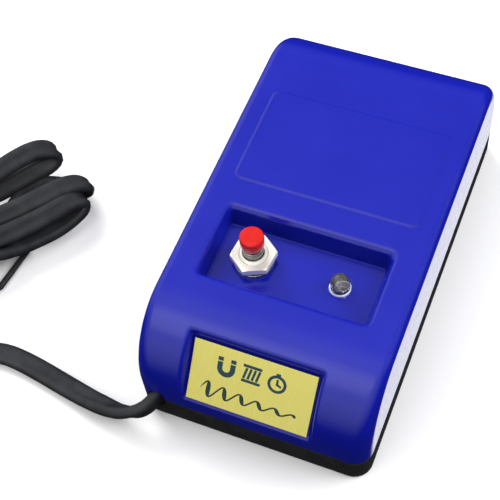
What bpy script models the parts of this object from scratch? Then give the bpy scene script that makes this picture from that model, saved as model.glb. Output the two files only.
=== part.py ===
"""Watch demagnetizer: blue housing over a black base, an open E core with its coil under the deck,
a momentary push button and an indicator LED in a pocket, and a flat twin mains flex wound into a hank.

Frame: origin at the bottom centre of the body, +Z up, +Y from the label end to the far end, metres.
Run: blender --background --python part.py
"""
import math

import bmesh
import bpy
import numpy as np
from mathutils import Matrix, Vector

MM = 0.001

# ---- driving dimensions, mm ----
WIDTH = 60.0            # X
LENGTH = 110.0          # Y
TOP_Z = 33.0            # deck of the housing
SEAM_Z = 9.0            # housing's lower edge
GAP = 0.3               # clearance between touching pieces
WALL = 2.0              # moulded wall
FRONT_R = 19.0          # rounding of the near end, side view
REAR_R = 16.0           # rounding of the far end, side view
PLAN_R = 4.8            # corner radius in plan, at the seam
EDGE_R = 2.3            # fillet along the deck's long edges
FOOT_H = 0.8            # moulded feet

POCKET_X = 21.6         # half width of the pocket's rim
POCKET_Y0, POCKET_Y1 = -30.6, -9.9
POCKET_FLOOR = 27.5
POCKET_DRAFT = 0.9
BUTTON = (-11.1, -20.2)
LED = (11.1, -20.2)
TRAVEL = 1.5            # of the push button

AREA = (-24.0, 24.6, -1.9, 27.6)   # raised watch area on the deck
AREA_H = 0.25

LABEL_X = -0.7
LABEL_W = 31.0
LABEL_TOP = (-45.0, 28.6)          # y, z of the plate's upper edge
LABEL_LOW = (-54.7, 15.2)          # y, z of the plate's lower edge
LABEL_T = 0.4

CORE_Y = 16.0           # coil and core centre
CORE_W, CORE_STACK, LEG_C, LEG_S, YOKE = 42.0, 16.0, 14.0, 7.0, 7.0
CORE_Z0, CORE_Z1 = 7.0, 29.2

BOSSES = ((-19.6, -46.0), (19.6, -46.0), (-23.3, 46.5), (23.3, 46.5))
EXIT_X, EXIT_Z = -24.5, 8.9        # cord notch in the near wall

FLEX_W, FLEX_T = 5.8, 3.0          # flat twin flex
HANK_O = (-76.0, -3.0)             # hank frame: point at the visible end
HANK_A = (0.529, 0.8486)           # hank frame: along the hank, towards the visible end
HANK_N = (0.8486, -0.529)          # hank frame: across, towards the body
HANK_S, HANK_Z = -4.0, 9.0         # middle of the wound bundle
WRAP_S, WRAP_Z = 13.6, 9.0         # half sizes of the wound bundle, outside

# ---- scene and helpers ----
for o in list(bpy.data.objects):
    bpy.data.objects.remove(o, do_unlink=True)

parts = bpy.data.collections.new("demagnetizer")
tools = bpy.data.collections.new("cutters")
bpy.context.scene.collection.children.link(parts)
bpy.context.scene.collection.children.link(tools)


def material(name, color, rough, metal=0.0, alpha=1.0, trans=0.0):
    m = bpy.data.materials.new(name)
    m.use_nodes = True
    b = m.node_tree.nodes["Principled BSDF"]
    b.inputs["Base Color"].default_value = (*color, 1.0)
    b.inputs["Roughness"].default_value = rough
    b.inputs["Metallic"].default_value = metal
    b.inputs["Alpha"].default_value = alpha
    b.inputs["Transmission Weight"].default_value = trans
    m.diffuse_color = (*color, alpha)
    return m


BLUE = ((0.03, 0.04, 0.52), 0.25)
BLACK = ((0.02, 0.02, 0.022), 0.45)
NICKEL = ((0.82, 0.80, 0.74), 0.22, 1.0)
STEEL = ((0.62, 0.63, 0.64), 0.35, 1.0)
BRASS = ((0.78, 0.60, 0.30), 0.3, 1.0)
COPPER = ((0.80, 0.42, 0.20), 0.3, 1.0)
FLEX = ((0.025, 0.025, 0.028), 0.5)


def put(obj, name, look, smooth=True):
    """Name a part, give it its own material and put it in the object's collection."""
    obj.name = name
    obj.data.name = name
    for c in list(obj.users_collection):
        c.objects.unlink(obj)
    parts.objects.link(obj)
    obj.data.materials.clear()
    obj.data.materials.append(material(name, *look))
    if smooth:
        obj.data.shade_smooth()
        obj.data.set_sharp_from_angle(angle=math.radians(35))
    return obj


def tool(obj, name):
    obj.name = name
    for c in list(obj.users_collection):
        c.objects.unlink(obj)
    tools.objects.link(obj)
    obj.hide_render = True
    obj.display_type = "WIRE"
    return obj


def from_bm(bm, name="piece"):
    me = bpy.data.meshes.new(name)
    bm.to_mesh(me)
    bm.free()
    o = bpy.data.objects.new(name, me)
    bpy.context.scene.collection.objects.link(o)
    return o


def box(x0, x1, y0, y1, z0, z1, top_grow=0.0):
    """A block between two corners, mm; top_grow widens its upper face on each side."""
    bm = bmesh.new()
    bmesh.ops.create_cube(bm, size=1.0)
    for v in bm.verts:
        up = v.co.z > 0
        g = top_grow if up else 0.0
        v.co = Vector((
            ((x1 + g) if v.co.x > 0 else (x0 - g)) * MM,
            ((y1 + g) if v.co.y > 0 else (y0 - g)) * MM,
            (z1 if up else z0) * MM,
        ))
    return from_bm(bm)


def rod(r, z0, z1, at=(0.0, 0.0), seg=24, r_top=None):
    """A cylinder or cone along Z, mm."""
    bm = bmesh.new()
    bmesh.ops.create_cone(bm, cap_ends=True, segments=seg, radius1=r * MM,
                          radius2=(r if r_top is None else r_top) * MM, depth=(z1 - z0) * MM)
    bmesh.ops.translate(bm, vec=(at[0] * MM, at[1] * MM, (z0 + z1) / 2 * MM), verts=bm.verts)
    return from_bm(bm)


def turned(profile, steps=32, at=(0.0, 0.0)):
    """A body turned about Z from a closed (r, z) profile that runs down its outer side first, mm."""
    bm = bmesh.new()
    vs = [bm.verts.new((r * MM, 0.0, z * MM)) for r, z in profile]
    for a, b in zip(vs, vs[1:]):
        bm.edges.new((a, b))
    if profile[0][0] > 0 or profile[-1][0] > 0:
        bm.edges.new((vs[-1], vs[0]))
    o = from_bm(bm)
    s = o.modifiers.new("turn", "SCREW")
    s.axis = "Z"
    s.angle = math.tau
    s.steps = steps
    s.render_steps = steps
    s.use_merge_vertices = True
    s.merge_threshold = 0.00001
    o.location = (at[0] * MM, at[1] * MM, 0.0)
    return o


def solid_of(o):
    """The evaluated object as a plain welded mesh object in world space."""
    bpy.context.view_layer.update()
    dg = bpy.context.evaluated_depsgraph_get()
    me = bpy.data.meshes.new_from_object(o.evaluated_get(dg))
    bm = bmesh.new()
    bm.from_mesh(me)
    bm.transform(o.matrix_world)
    bmesh.ops.remove_doubles(bm, verts=bm.verts, dist=0.000002)
    bm.to_mesh(me)
    bm.free()
    n = bpy.data.objects.new(o.name, me)
    bpy.context.scene.collection.objects.link(n)
    bpy.data.objects.remove(o, do_unlink=True)
    return n


def outline(points, z0, z1):
    """A flat outline in XY, mm, drawn out from z0 to z1."""
    cu = bpy.data.curves.new("outline", "CURVE")
    cu.dimensions = "2D"
    cu.fill_mode = "BOTH"
    cu.extrude = abs(z1 - z0) / 2 * MM
    sp = cu.splines.new("POLY")
    sp.points.add(len(points) - 1)
    for p, (x, y) in zip(sp.points, points):
        p.co = (x * MM, y * MM, 0.0, 1.0)
    sp.use_cyclic_u = True
    o = bpy.data.objects.new("outline", cu)
    bpy.context.scene.collection.objects.link(o)
    o.location = (0.0, 0.0, (z0 + z1) / 2 * MM)
    return solid_of(o)


def round_rect(x0, x1, y0, y1, r, n=6):
    pts = []
    for cx, cy, a0 in ((x1 - r, y1 - r, 0), (x0 + r, y1 - r, 90), (x0 + r, y0 + r, 180), (x1 - r, y0 + r, 270)):
        for k in range(n + 1):
            a = math.radians(a0 + 90 * k / n)
            pts.append((cx + r * math.cos(a), cy + r * math.sin(a)))
    return pts


def boolean(o, other, how, name="cut"):
    tool(other, f"{o.name}_{name}_{len(o.modifiers)}")
    m = o.modifiers.new(name, "BOOLEAN")
    m.operation = how
    m.solver = "EXACT"
    m.object = other
    return o


def bevel(o, width, seg=2, angle=40):
    b = o.modifiers.new("edges", "BEVEL")
    b.width = width * MM
    b.segments = seg
    b.limit_method = "ANGLE"
    b.angle_limit = math.radians(angle)
    b.use_clamp_overlap = True
    return b


def wire(points, r, res=1):
    """A round wire along points, mm."""
    cu = bpy.data.curves.new("wire", "CURVE")
    cu.dimensions = "3D"
    cu.bevel_depth = r * MM
    cu.bevel_resolution = res
    cu.use_fill_caps = True
    cu.render_resolution_u = 0
    sp = cu.splines.new("POLY")
    sp.points.add(len(points) - 1)
    for p, c in zip(sp.points, points):
        p.co = (c[0] * MM, c[1] * MM, c[2] * MM, 1.0)
    o = bpy.data.objects.new("wire", cu)
    bpy.context.scene.collection.objects.link(o)
    return o


def put_curve(o, name, look):
    o.name = name
    o.data.name = name
    for c in list(o.users_collection):
        c.objects.unlink(o)
    parts.objects.link(o)
    o.data.materials.append(material(name, *look))
    return o


def smooth_path(route, step):
    """Points every step mm on a smooth curve through the route's points (any number of columns)."""
    p = np.array(route, float)
    n = len(p)
    ext = np.vstack([2 * p[0] - p[1], p, 2 * p[-1] - p[-2]])
    fine = []
    for i in range(1, n):
        p0, p1, p2, p3 = ext[i - 1], ext[i], ext[i + 1], ext[i + 2]
        t0 = 0.0
        t1 = t0 + max(np.linalg.norm((p1 - p0)[:3]), 1e-6) ** 0.5
        t2 = t1 + max(np.linalg.norm((p2 - p1)[:3]), 1e-6) ** 0.5
        t3 = t2 + max(np.linalg.norm((p3 - p2)[:3]), 1e-6) ** 0.5
        for t in np.linspace(t1, t2, 24, endpoint=False):
            a1 = (t1 - t) / (t1 - t0) * p0 + (t - t0) / (t1 - t0) * p1
            a2 = (t2 - t) / (t2 - t1) * p1 + (t - t1) / (t2 - t1) * p2
            a3 = (t3 - t) / (t3 - t2) * p2 + (t - t2) / (t3 - t2) * p3
            b1 = (t2 - t) / (t2 - t0) * a1 + (t - t0) / (t2 - t0) * a2
            b2 = (t3 - t) / (t3 - t1) * a2 + (t - t1) / (t3 - t1) * a3
            fine.append((t2 - t) / (t2 - t1) * b1 + (t - t1) / (t2 - t1) * b2)
    fine.append(p[-1])
    fine = np.array(fine)
    run = np.concatenate([[0.0], np.cumsum(np.linalg.norm(np.diff(fine[:, :3], axis=0), axis=1))])
    count = max(2, int(round(run[-1] / step)) + 1)
    at = np.linspace(0.0, run[-1], count)
    return np.stack([np.interp(at, run, fine[:, k]) for k in range(p.shape[1])], 1)


def flat_flex(route, step, width=FLEX_W, thick=FLEX_T):
    """A flat flex lofted along a route: x, y, z and either the way its width points, or its roll in degrees (0 lies flat, 90 is on edge)."""
    path = smooth_path(route, step)
    pos = path[:, :3].copy()
    tan = np.gradient(pos, axis=0)
    tan /= np.linalg.norm(tan, axis=1)[:, None]
    if path.shape[1] == 4:
        roll = np.radians(path[:, 3])[:, None]
        level = np.stack([-tan[:, 1], tan[:, 0], 0 * tan[:, 0]], 1)
        level /= np.linalg.norm(level, axis=1)[:, None]
        side = np.cos(roll) * level + np.sin(roll) * np.array([0.0, 0.0, 1.0])
    else:
        side = path[:, 3:] / np.linalg.norm(path[:, 3:], axis=1)[:, None]
    rest = thick / 2 + (width - thick) / 2 * np.abs(side[:, 2]) + 0.1
    pos[:, 2] = np.maximum(pos[:, 2], rest)
    section = []
    r = thick / 2
    for a in (-60, 0, 60):
        section.append((width / 2 - r + r * math.cos(math.radians(a)), r * math.sin(math.radians(a))))
    for a in (120, 180, 240):
        section.append((-width / 2 + r + r * math.cos(math.radians(a)), r * math.sin(math.radians(a))))
    bm = bmesh.new()
    rings = []
    for p, t, w in zip(pos, tan, side):
        w = w - t * float(w @ t)
        w /= np.linalg.norm(w)
        n = np.cross(t, w)
        rings.append([bm.verts.new(tuple((p + w * u + n * v) * MM)) for u, v in section])
    k = len(section)
    for a, b in zip(rings, rings[1:]):
        for i in range(k):
            bm.faces.new((a[i], a[(i + 1) % k], b[(i + 1) % k], b[i]))
    bm.faces.new(rings[0][::-1])
    bm.faces.new(rings[-1])
    bmesh.ops.recalc_face_normals(bm, faces=bm.faces)
    return from_bm(bm)


def hank(t, s, z):
    """A point given along and across the hank, in the row frame, mm."""
    return (HANK_O[0] + t * HANK_A[0] + s * HANK_N[0], HANK_O[1] + t * HANK_A[1] + s * HANK_N[1], z)


# ---- top housing ----
def side_profile():
    """(y, z, ny, nz, edge radius) from the rear seam over the deck to the front seam."""
    rows = []
    hy = LENGTH / 2
    for z in (SEAM_Z, (SEAM_Z + TOP_Z - REAR_R) / 2):
        rows.append((hy, z, 1.0, 0.0, PLAN_R))
    for k in range(9):
        a = math.radians(90 * k / 8)
        rows.append((hy - REAR_R + REAR_R * math.cos(a), TOP_Z - REAR_R + REAR_R * math.sin(a),
                     math.cos(a), math.sin(a), EDGE_R + (PLAN_R - EDGE_R) * math.cos(a) ** 2))
    for y in (26.0, 8.0, -10.0, -24.0):
        rows.append((y, TOP_Z, 0.0, 1.0, EDGE_R))
    for k in range(11):
        a = math.radians(90 * k / 10)
        rows.append((-hy + FRONT_R - FRONT_R * math.sin(a), TOP_Z - FRONT_R + FRONT_R * math.cos(a),
                     -math.sin(a), math.cos(a), EDGE_R + (PLAN_R - EDGE_R) * math.sin(a) ** 2))
    rows.append((-hy, SEAM_Z, -1.0, 0.0, PLAN_R))
    return rows


bm = bmesh.new()
rings = []
STEPS = 5
for y, z, ny, nz, r in side_profile():
    ring = []
    for side in (-1, 1):
        order = range(STEPS, -1, -1) if side < 0 else range(STEPS + 1)
        for k in order:
            b = math.radians(90 * k / STEPS)
            x = side * (WIDTH / 2 - r + r * math.sin(b))
            d = r - r * math.cos(b)
            ring.append(bm.verts.new((x * MM, (y - ny * d) * MM, (z - nz * d) * MM)))
    rings.append(ring)
for a, b in zip(rings, rings[1:]):
    for i in range(len(a) - 1):
        bm.faces.new((a[i], b[i], b[i + 1], a[i + 1]))
bm.faces.new([r[0] for r in rings])
bm.faces.new([r[-1] for r in rings][::-1])
bmesh.ops.recalc_face_normals(bm, faces=bm.faces)
top = put(from_bm(bm), "top_housing", BLUE)
if top.data.polygons[len(top.data.polygons) // 2].normal.z < -0.5:
    top.data.flip_normals()
sol = top.modifiers.new("wall", "SOLIDIFY")
sol.thickness = WALL * MM
sol.offset = -1.0
sol.use_even_offset = True
sol.use_rim = True

# pocket tub, screw bosses with ribs, LED sleeve, label pad
boolean(top, box(-POCKET_X - 2.0, POCKET_X + 2.0, POCKET_Y0 - 2.0, POCKET_Y1 + 2.0, POCKET_FLOOR - 1.4, TOP_Z - 1.0), "UNION", "tub")
boolean(top, rod(4.2, POCKET_FLOOR - 3.1, POCKET_FLOOR - 1.0, LED, 24), "UNION", "sleeve")
for bx, by in BOSSES:
    boolean(top, rod(3.0, SEAM_Z + 0.3, 26.9, (bx, by), 20), "UNION", "boss")
for bx, by in BOSSES:
    x1 = math.copysign(WIDTH / 2 - 1.0, bx)
    boolean(top, box(min(bx, x1), max(bx, x1), by - 0.8, by + 0.8, 15.0, 25.5), "UNION", "rib")

tilt = math.atan2(LABEL_TOP[1] - LABEL_LOW[1], LABEL_TOP[0] - LABEL_LOW[0])
LABEL_H = math.hypot(LABEL_TOP[1] - LABEL_LOW[1], LABEL_TOP[0] - LABEL_LOW[0])
label_frame = Matrix.Translation((LABEL_X * MM, (LABEL_TOP[0] + LABEL_LOW[0]) / 2 * MM,
                                  (LABEL_TOP[1] + LABEL_LOW[1]) / 2 * MM)) @ Matrix.Rotation(tilt, 4, "X")


def on_label(o):
    o.data.transform(label_frame)
    return o


boolean(top, on_label(box(-17.6, 17.6, -LABEL_H / 2 - 0.8, LABEL_H / 2 + 1.6, -LABEL_T - 2.2, -LABEL_T - 0.2)), "UNION", "pad")
boolean(top, outline(round_rect(AREA[0], AREA[1], AREA[2], AREA[3], 2.0, 4), TOP_Z - 0.6, TOP_Z + AREA_H), "UNION", "watch_area")

boolean(top, box(-POCKET_X + POCKET_DRAFT, POCKET_X - POCKET_DRAFT, POCKET_Y0 + POCKET_DRAFT, POCKET_Y1 - POCKET_DRAFT,
                 POCKET_FLOOR, TOP_Z, POCKET_DRAFT), "DIFFERENCE", "pocket")
boolean(top, rod(3.8, POCKET_FLOOR - 4, POCKET_FLOOR + 3, BUTTON, 32), "DIFFERENCE", "bush_hole")
boolean(top, rod(2.75, POCKET_FLOOR - 9, POCKET_FLOOR + 3, LED, 32), "DIFFERENCE", "led_hole")
for bx, by in BOSSES:
    boolean(top, rod(1.75, SEAM_Z - 1, 19.0, (bx, by), 16), "DIFFERENCE", "pilot")
boolean(top, on_label(box(-LABEL_W / 2 - 0.4, LABEL_W / 2 + 0.4, -LABEL_H / 2 - 0.4, LABEL_H / 2 + 0.4, -LABEL_T - GAP, 5.0, 1.2)), "DIFFERENCE", "label_recess")
notch = outline(round_rect(EXIT_X - 2.0, EXIT_X + 2.0, 5.5, 12.4, 1.9, 4), -57.0, -48.5)
notch.data.transform(Matrix(((1, 0, 0, 0), (0, 0, 1, 0), (0, 1, 0, 0), (0, 0, 0, 1))))
notch.data.flip_normals()
boolean(top, notch, "DIFFERENCE", "cord_notch")

label = put(on_label(box(-LABEL_W / 2, LABEL_W / 2, -LABEL_H / 2, LABEL_H / 2, -LABEL_T, 0.0)), "label_plate", ((0.80, 0.66, 0.25), 0.3, 1.0), False)

# ---- base cover ----
HX, HY = WIDTH / 2, LENGTH / 2
base = put(outline(round_rect(-HX, HX, -HY, HY, PLAN_R, 6), FOOT_H, SEAM_Z - 0.3), "base_cover", BLACK)
tongue = outline(round_rect(-HX + 2.3, HX - 2.3, -HY + 2.3, HY - 2.3, PLAN_R - 2.0, 6), 6.0, SEAM_Z + 2.2)
boolean(base, tongue, "UNION", "tongue")
boolean(base, outline(round_rect(-HX + 3.5, HX - 3.5, -HY + 3.5, HY - 3.5, PLAN_R - 3.0, 6), FOOT_H + 2.2, SEAM_Z + 4), "DIFFERENCE", "hollow")
FEET = ((-22.0, -47.0), (22.0, -47.0), (-22.0, 47.0), (22.0, 47.0))
for i, (bx, by) in enumerate(BOSSES):
    boolean(base, rod(3.2, FOOT_H + 1.0, SEAM_Z, (bx, by), 20), "UNION", "post")
for fx, fy in ((-24.0, -38.0), (24.0, -38.0), (-24.0, 36.0), (24.0, 36.0)):
    boolean(base, rod(3.4, 0.0, FOOT_H + 0.6, (fx, fy), 20, 3.7), "UNION", "foot")
for py in (CORE_Y - 13.5, CORE_Y + 13.5):
    boolean(base, rod(3.4, FOOT_H + 1.0, CORE_Z0 - 1.1, (0.0, py), 20), "UNION", "core_post")
for px in (-15.5, 15.5):
    boolean(base, box(px - 1.0, px + 1.0, CORE_Y - 7.6, CORE_Y + 7.6, FOOT_H + 1.0, CORE_Z0 - GAP), "UNION", "core_rib")
CLAMP = (-13.0, -36.0)
for cy in (CLAMP[1] - 5.6, CLAMP[1] + 5.6):
    boolean(base, rod(2.6, FOOT_H + 1.0, 6.0, (CLAMP[0], cy), 16), "UNION", "clamp_post")
boolean(base, box(CLAMP[0] - 2.0, CLAMP[0] + 2.0, CLAMP[1] - 4.0, CLAMP[1] + 4.0, FOOT_H + 1.0, 6.0), "UNION", "saddle")
for bx, by in BOSSES:
    boolean(base, rod(1.75, -1.0, SEAM_Z + 1, (bx, by), 16), "DIFFERENCE", "screw_hole")
for bx, by in BOSSES:
    boolean(base, rod(3.1, -1.0, FOOT_H + 2.4, (bx, by), 20), "DIFFERENCE", "counterbore")
for py in (CORE_Y - 13.5, CORE_Y + 13.5):
    boolean(base, rod(1.75, FOOT_H + 1.4, CORE_Z0 + 1, (0.0, py), 16), "DIFFERENCE", "core_pilot")
for cy in (CLAMP[1] - 5.6, CLAMP[1] + 5.6):
    boolean(base, rod(1.45, FOOT_H + 1.4, 7.0, (CLAMP[0], cy), 16), "DIFFERENCE", "clamp_pilot")
notch2 = outline(round_rect(EXIT_X - 2.0, EXIT_X + 2.0, 5.5, 12.4, 1.9, 4), -57.0, -48.5)
notch2.data.transform(Matrix(((1, 0, 0, 0), (0, 0, 1, 0), (0, 1, 0, 0), (0, 0, 0, 1))))
notch2.data.flip_normals()
boolean(base, notch2, "DIFFERENCE", "cord_notch")

SCREW = [(0.0, FOOT_H + 0.5), (2.0, FOOT_H + 0.55), (2.7, FOOT_H + 1.1), (2.7, FOOT_H + 2.1), (1.45, FOOT_H + 2.1), (1.45, 16.6), (0.5, 17.6), (0.0, 17.7)]
for i, at in enumerate(BOSSES):
    s = solid_of(turned(SCREW[::-1], 16, at))
    boolean(s, box(at[0] - 1.6, at[0] + 1.6, at[1] - 0.25, at[1] + 0.25, FOOT_H - 1, FOOT_H + 1.3), "DIFFERENCE", "slot_a")
    boolean(s, box(at[0] - 0.25, at[0] + 0.25, at[1] - 1.6, at[1] + 1.6, FOOT_H - 1, FOOT_H + 1.3), "DIFFERENCE", "slot_b")
    put(s, f"base_screw_{i + 1}", STEEL)

# ---- push button switch ----
bx, by = BUTTON
put(turned([(2.95, 31.8), (3.25, 31.8), (3.5, 31.5), (3.5, 24.9), (5.4, 24.9), (5.4, 17.9), (4.75, 17.9), (4.75, 23.9), (2.85, 23.9), (2.85, 31.7)], 32, BUTTON), "switch_bush", NICKEL)
NUT_R, NUT_Z0, NUT_Z1 = 5.9, 29.4, 31.2
nut = rod(NUT_R, NUT_Z0, NUT_Z1, (0, 0), 6)
nut.data.transform(Matrix.Rotation(0.41, 4, "Z"))
nut.data.transform(Matrix.Translation((bx * MM, by * MM, 0)))
boolean(nut, rod(3.8, POCKET_FLOOR - 3, POCKET_FLOOR + 6, BUTTON, 32), "DIFFERENCE", "hole")
boolean(nut, rod(6.3, NUT_Z0 - 1, NUT_Z1 + 0.01, BUTTON, 32, 5.05), "INTERSECT", "chamfer")
put(nut, "switch_nut", NICKEL)
put(turned([(3.85, 29.1), (5.0, 29.1), (5.0, POCKET_FLOOR + GAP), (3.85, POCKET_FLOOR + GAP)], 24, BUTTON), "switch_spacer", STEEL)
put(turned([(3.85, 25.75), (5.9, 25.75), (5.9, 25.25), (3.85, 25.25)], 24, BUTTON), "switch_lock_washer", STEEL)
phen = solid_of(turned([(0.0, 19.9), (4.4, 19.9), (4.4, 17.55), (5.4, 17.55), (5.4, 15.2), (0.0, 15.2)], 28, BUTTON))
boolean(phen, rod(1.9, 17.0, 22.0, BUTTON, 20), "DIFFERENCE", "spring_seat")
for s in (-1, 1):
    boolean(phen, box(bx + s * 3.0 - 0.65, bx + s * 3.0 + 0.65, by - 1.35, by + 1.35, 14.0, 22.0), "DIFFERENCE", "slot")
put(phen, "switch_base", ((0.25, 0.12, 0.06), 0.5))
for i, s in enumerate((-1, 1)):
    put(box(bx + s * 3.0 - 0.3, bx + s * 3.0 + 0.3, by - 1.0, by + 1.0, 10.2, 20.35), f"switch_terminal_{i + 1}", BRASS, False)

put(turned([(0.0, 38.8), (2.55, 38.8), (2.9, 38.62), (3.05, 38.25), (3.0, 36.6), (2.8, 35.15), (1.75, 35.15), (1.75, 37.4), (0.0, 37.4)], 32, BUTTON), "button_cap", ((0.75, 0.03, 0.02), 0.35))
put(turned([(0.0, 37.1), (1.45, 37.1), (1.45, 34.85), (2.4, 34.85), (2.6, 34.6), (2.6, 23.6), (4.3, 23.6), (4.3, 22.8), (0.9, 22.8), (0.9, 21.9), (0.0, 21.9)], 28, BUTTON), "button_plunger", NICKEL)
put(turned([(1.2, 22.5), (4.1, 22.5), (4.1, 22.45), (4.1, 21.95), (1.2, 21.95)], 24, BUTTON), "switch_contact", BRASS)
coil_pts = []
SP_Z0, SP_Z1, TURNS = 17.6, 21.35, 4.0
for k in range(int(TURNS * 12) + 1):
    a = math.tau * k / 12
    f = k / (TURNS * 12)
    coil_pts.append((bx + 1.35 * math.cos(a), by + 1.35 * math.sin(a), SP_Z0 + (SP_Z1 - SP_Z0) * f))
put_curve(wire(coil_pts, 0.2, 1), "switch_spring", STEEL)

# ---- indicator ----
lx, ly = LED
LED_Z = 29.4          # centre of the dome
dome = [(2.45 * math.sin(math.radians(a)), LED_Z + 2.45 * math.cos(math.radians(a))) for a in range(0, 91, 15)]
put(turned(dome + [(2.45, LED_Z - 5.3), (2.95, LED_Z - 5.3), (2.95, LED_Z - 6.3), (0.0, LED_Z - 6.3)], 28, LED), "led_lens", ((0.9, 0.92, 0.95), 0.05, 0.0, 0.5, 0.9))
put(box(lx + 1.02, lx + 1.52, ly - 0.25, ly + 0.25, 12.2, LED_Z - 6.6), "led_lead_anode", STEEL, False)
put(box(lx - 1.52, lx - 1.02, ly - 0.25, ly + 0.25, 12.2, LED_Z - 6.6), "led_lead_cathode", STEEL, False)


def axial(y0, y1, b0, b1, r, x, z):
    """An axial component along Y: leads y0..y1, body b0..b1 of radius r."""
    prof = [(0.0, y1), (0.25, y1), (0.25, b1), (r * 0.8, b1), (r, b1 - 0.5), (r, b0 + 0.5), (r * 0.8, b0), (0.25, b0), (0.25, y0), (0.0, y0)]
    o = solid_of(turned(prof, 14))
    o.data.transform(Matrix.Translation((x * MM, 0, z * MM)) @ Matrix.Rotation(math.radians(-90), 4, "X"))
    return o


put(axial(-32.5, -19.9, -29.5, -23.2, 1.2, lx + 1.27, 11.6), "led_resistor", ((0.55, 0.62, 0.70), 0.4))
put(axial(-20.5, -8.5, -17.6, -12.4, 1.3, lx - 1.27, 11.6), "led_diode", ((0.03, 0.03, 0.03), 0.4))

# ---- core and coil ----
y0, y1 = CORE_Y - CORE_STACK / 2, CORE_Y + CORE_STACK / 2
win = (CORE_W - LEG_C - 2 * LEG_S) / 2
e = [(-CORE_W / 2, CORE_Z0), (CORE_W / 2, CORE_Z0), (CORE_W / 2, CORE_Z1), (CORE_W / 2 - LEG_S, CORE_Z1),
     (CORE_W / 2 - LEG_S, CORE_Z0 + YOKE), (LEG_C / 2, CORE_Z0 + YOKE), (LEG_C / 2, CORE_Z1), (-LEG_C / 2, CORE_Z1),
     (-LEG_C / 2, CORE_Z0 + YOKE), (-CORE_W / 2 + LEG_S, CORE_Z0 + YOKE), (-CORE_W / 2 + LEG_S, CORE_Z1), (-CORE_W / 2, CORE_Z1)]
core = outline(e, -y1, -y0)
core.data.transform(Matrix.Rotation(math.radians(90), 4, "X"))


def along_y(o, x, z):
    """Lay a piece made along Z down along Y (its z becomes y) at x, z."""
    o.data.transform(Matrix.Translation((x * MM, 0, z * MM)) @ Matrix.Rotation(math.radians(-90), 4, "X"))
    return o


BOLT_Z = CORE_Z0 + YOKE / 2
for s in (-1, 1):
    boolean(core, along_y(rod(1.8, 0, 40, (0, 0), 16), s * 17.5, BOLT_Z), "DIFFERENCE", "bolt_hole")
put(core, "core_stack", ((0.30, 0.31, 0.33), 0.5, 1.0))

z0, z1 = CORE_Z0 + YOKE + 0.3, CORE_Z1 - 0.3
bob = box(-13.65, 13.65, CORE_Y - 14.4, CORE_Y + 14.4, z0, z0 + 0.9)
boolean(bob, box(-8.15, 8.15, CORE_Y - 9.15, CORE_Y + 9.15, z0 + 0.2, z1 - 0.2), "UNION", "tube")
boolean(bob, box(-13.65, 13.65, CORE_Y - 14.4, CORE_Y + 14.4, z1 - 0.9, z1), "UNION", "flange")
boolean(bob, box(-7.35, 7.35, CORE_Y - 8.35, CORE_Y + 8.35, z0 - 1, z1 + 1), "DIFFERENCE", "window")
put(bob, "coil_bobbin", ((0.85, 0.83, 0.76), 0.5), False)
wind = outline(round_rect(-13.0, 13.0, CORE_Y - 13.7, CORE_Y + 13.7, 3.0, 4), z0 + 1.2, z1 - 1.2)
boolean(wind, box(-8.45, 8.45, CORE_Y - 9.45, CORE_Y + 9.45, z0 - 1, z1 + 1), "DIFFERENCE", "inside")
put(wind, "coil_winding", COPPER)
tape = outline(round_rect(-13.6, 13.6, CORE_Y - 14.3, CORE_Y + 14.3, 3.6, 4), z0 + 1.4, z1 - 1.4)
boolean(tape, outline(round_rect(-13.25, 13.25, CORE_Y - 13.95, CORE_Y + 13.95, 3.2, 4), z0 - 1, z1 + 1), "DIFFERENCE", "inside")
put(tape, "coil_tape", ((0.85, 0.65, 0.10), 0.4))

for name, s in (("front", -1), ("rear", 1)):
    face = CORE_Y + s * (CORE_STACK / 2 + GAP)
    far = face + s * 0.8
    foot = CORE_Y + s * 17.2
    br = box(-20.5, 20.5, min(face, far), max(face, far), 6.2, 13.8)
    boolean(br, box(-9.0, 9.0, min(face, foot), max(face, foot), 6.2, 7.0), "UNION", "foot")
    for q in (-1, 1):
        boolean(br, along_y(rod(1.8, -20, 60, (0, 0), 16), q * 17.5, BOLT_Z), "DIFFERENCE", "hole")
    boolean(br, rod(1.8, 4, 9, (0.0, CORE_Y + s * 13.5), 16), "DIFFERENCE", "foot_hole")
    put(br, f"core_bracket_{name}", STEEL, False)
    put(turned([(0.0, 9.3), (1.8, 9.2), (2.7, 8.4), (2.7, 7.3), (1.45, 7.3), (1.45, 3.1), (0.5, 2.6), (0.0, 2.6)], 16, (0.0, CORE_Y + s * 13.5)), f"bracket_screw_{name}", STEEL)
for name, s in (("left", -1), ("right", 1)):
    yf, yr = CORE_Y - 9.4, CORE_Y + 9.4
    bolt = [(0.0, yf - 2.2), (2.0, yf - 2.1), (2.75, yf - 1.4), (2.75, yf), (1.45, yf), (1.45, yr + 3.0), (0.0, yr + 3.0)]
    put(along_y(solid_of(turned(bolt[::-1], 16)), s * 17.5, BOLT_Z), f"core_bolt_{name}", STEEL)
    hexa = rod(3.15, yr, yr + 2.3, (0, 0), 6)
    boolean(hexa, rod(1.75, yr - 2, yr + 5, (0, 0), 16), "DIFFERENCE", "thread")
    put(along_y(solid_of(hexa), s * 17.5, BOLT_Z), f"core_nut_{name}", STEEL, False)

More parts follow.
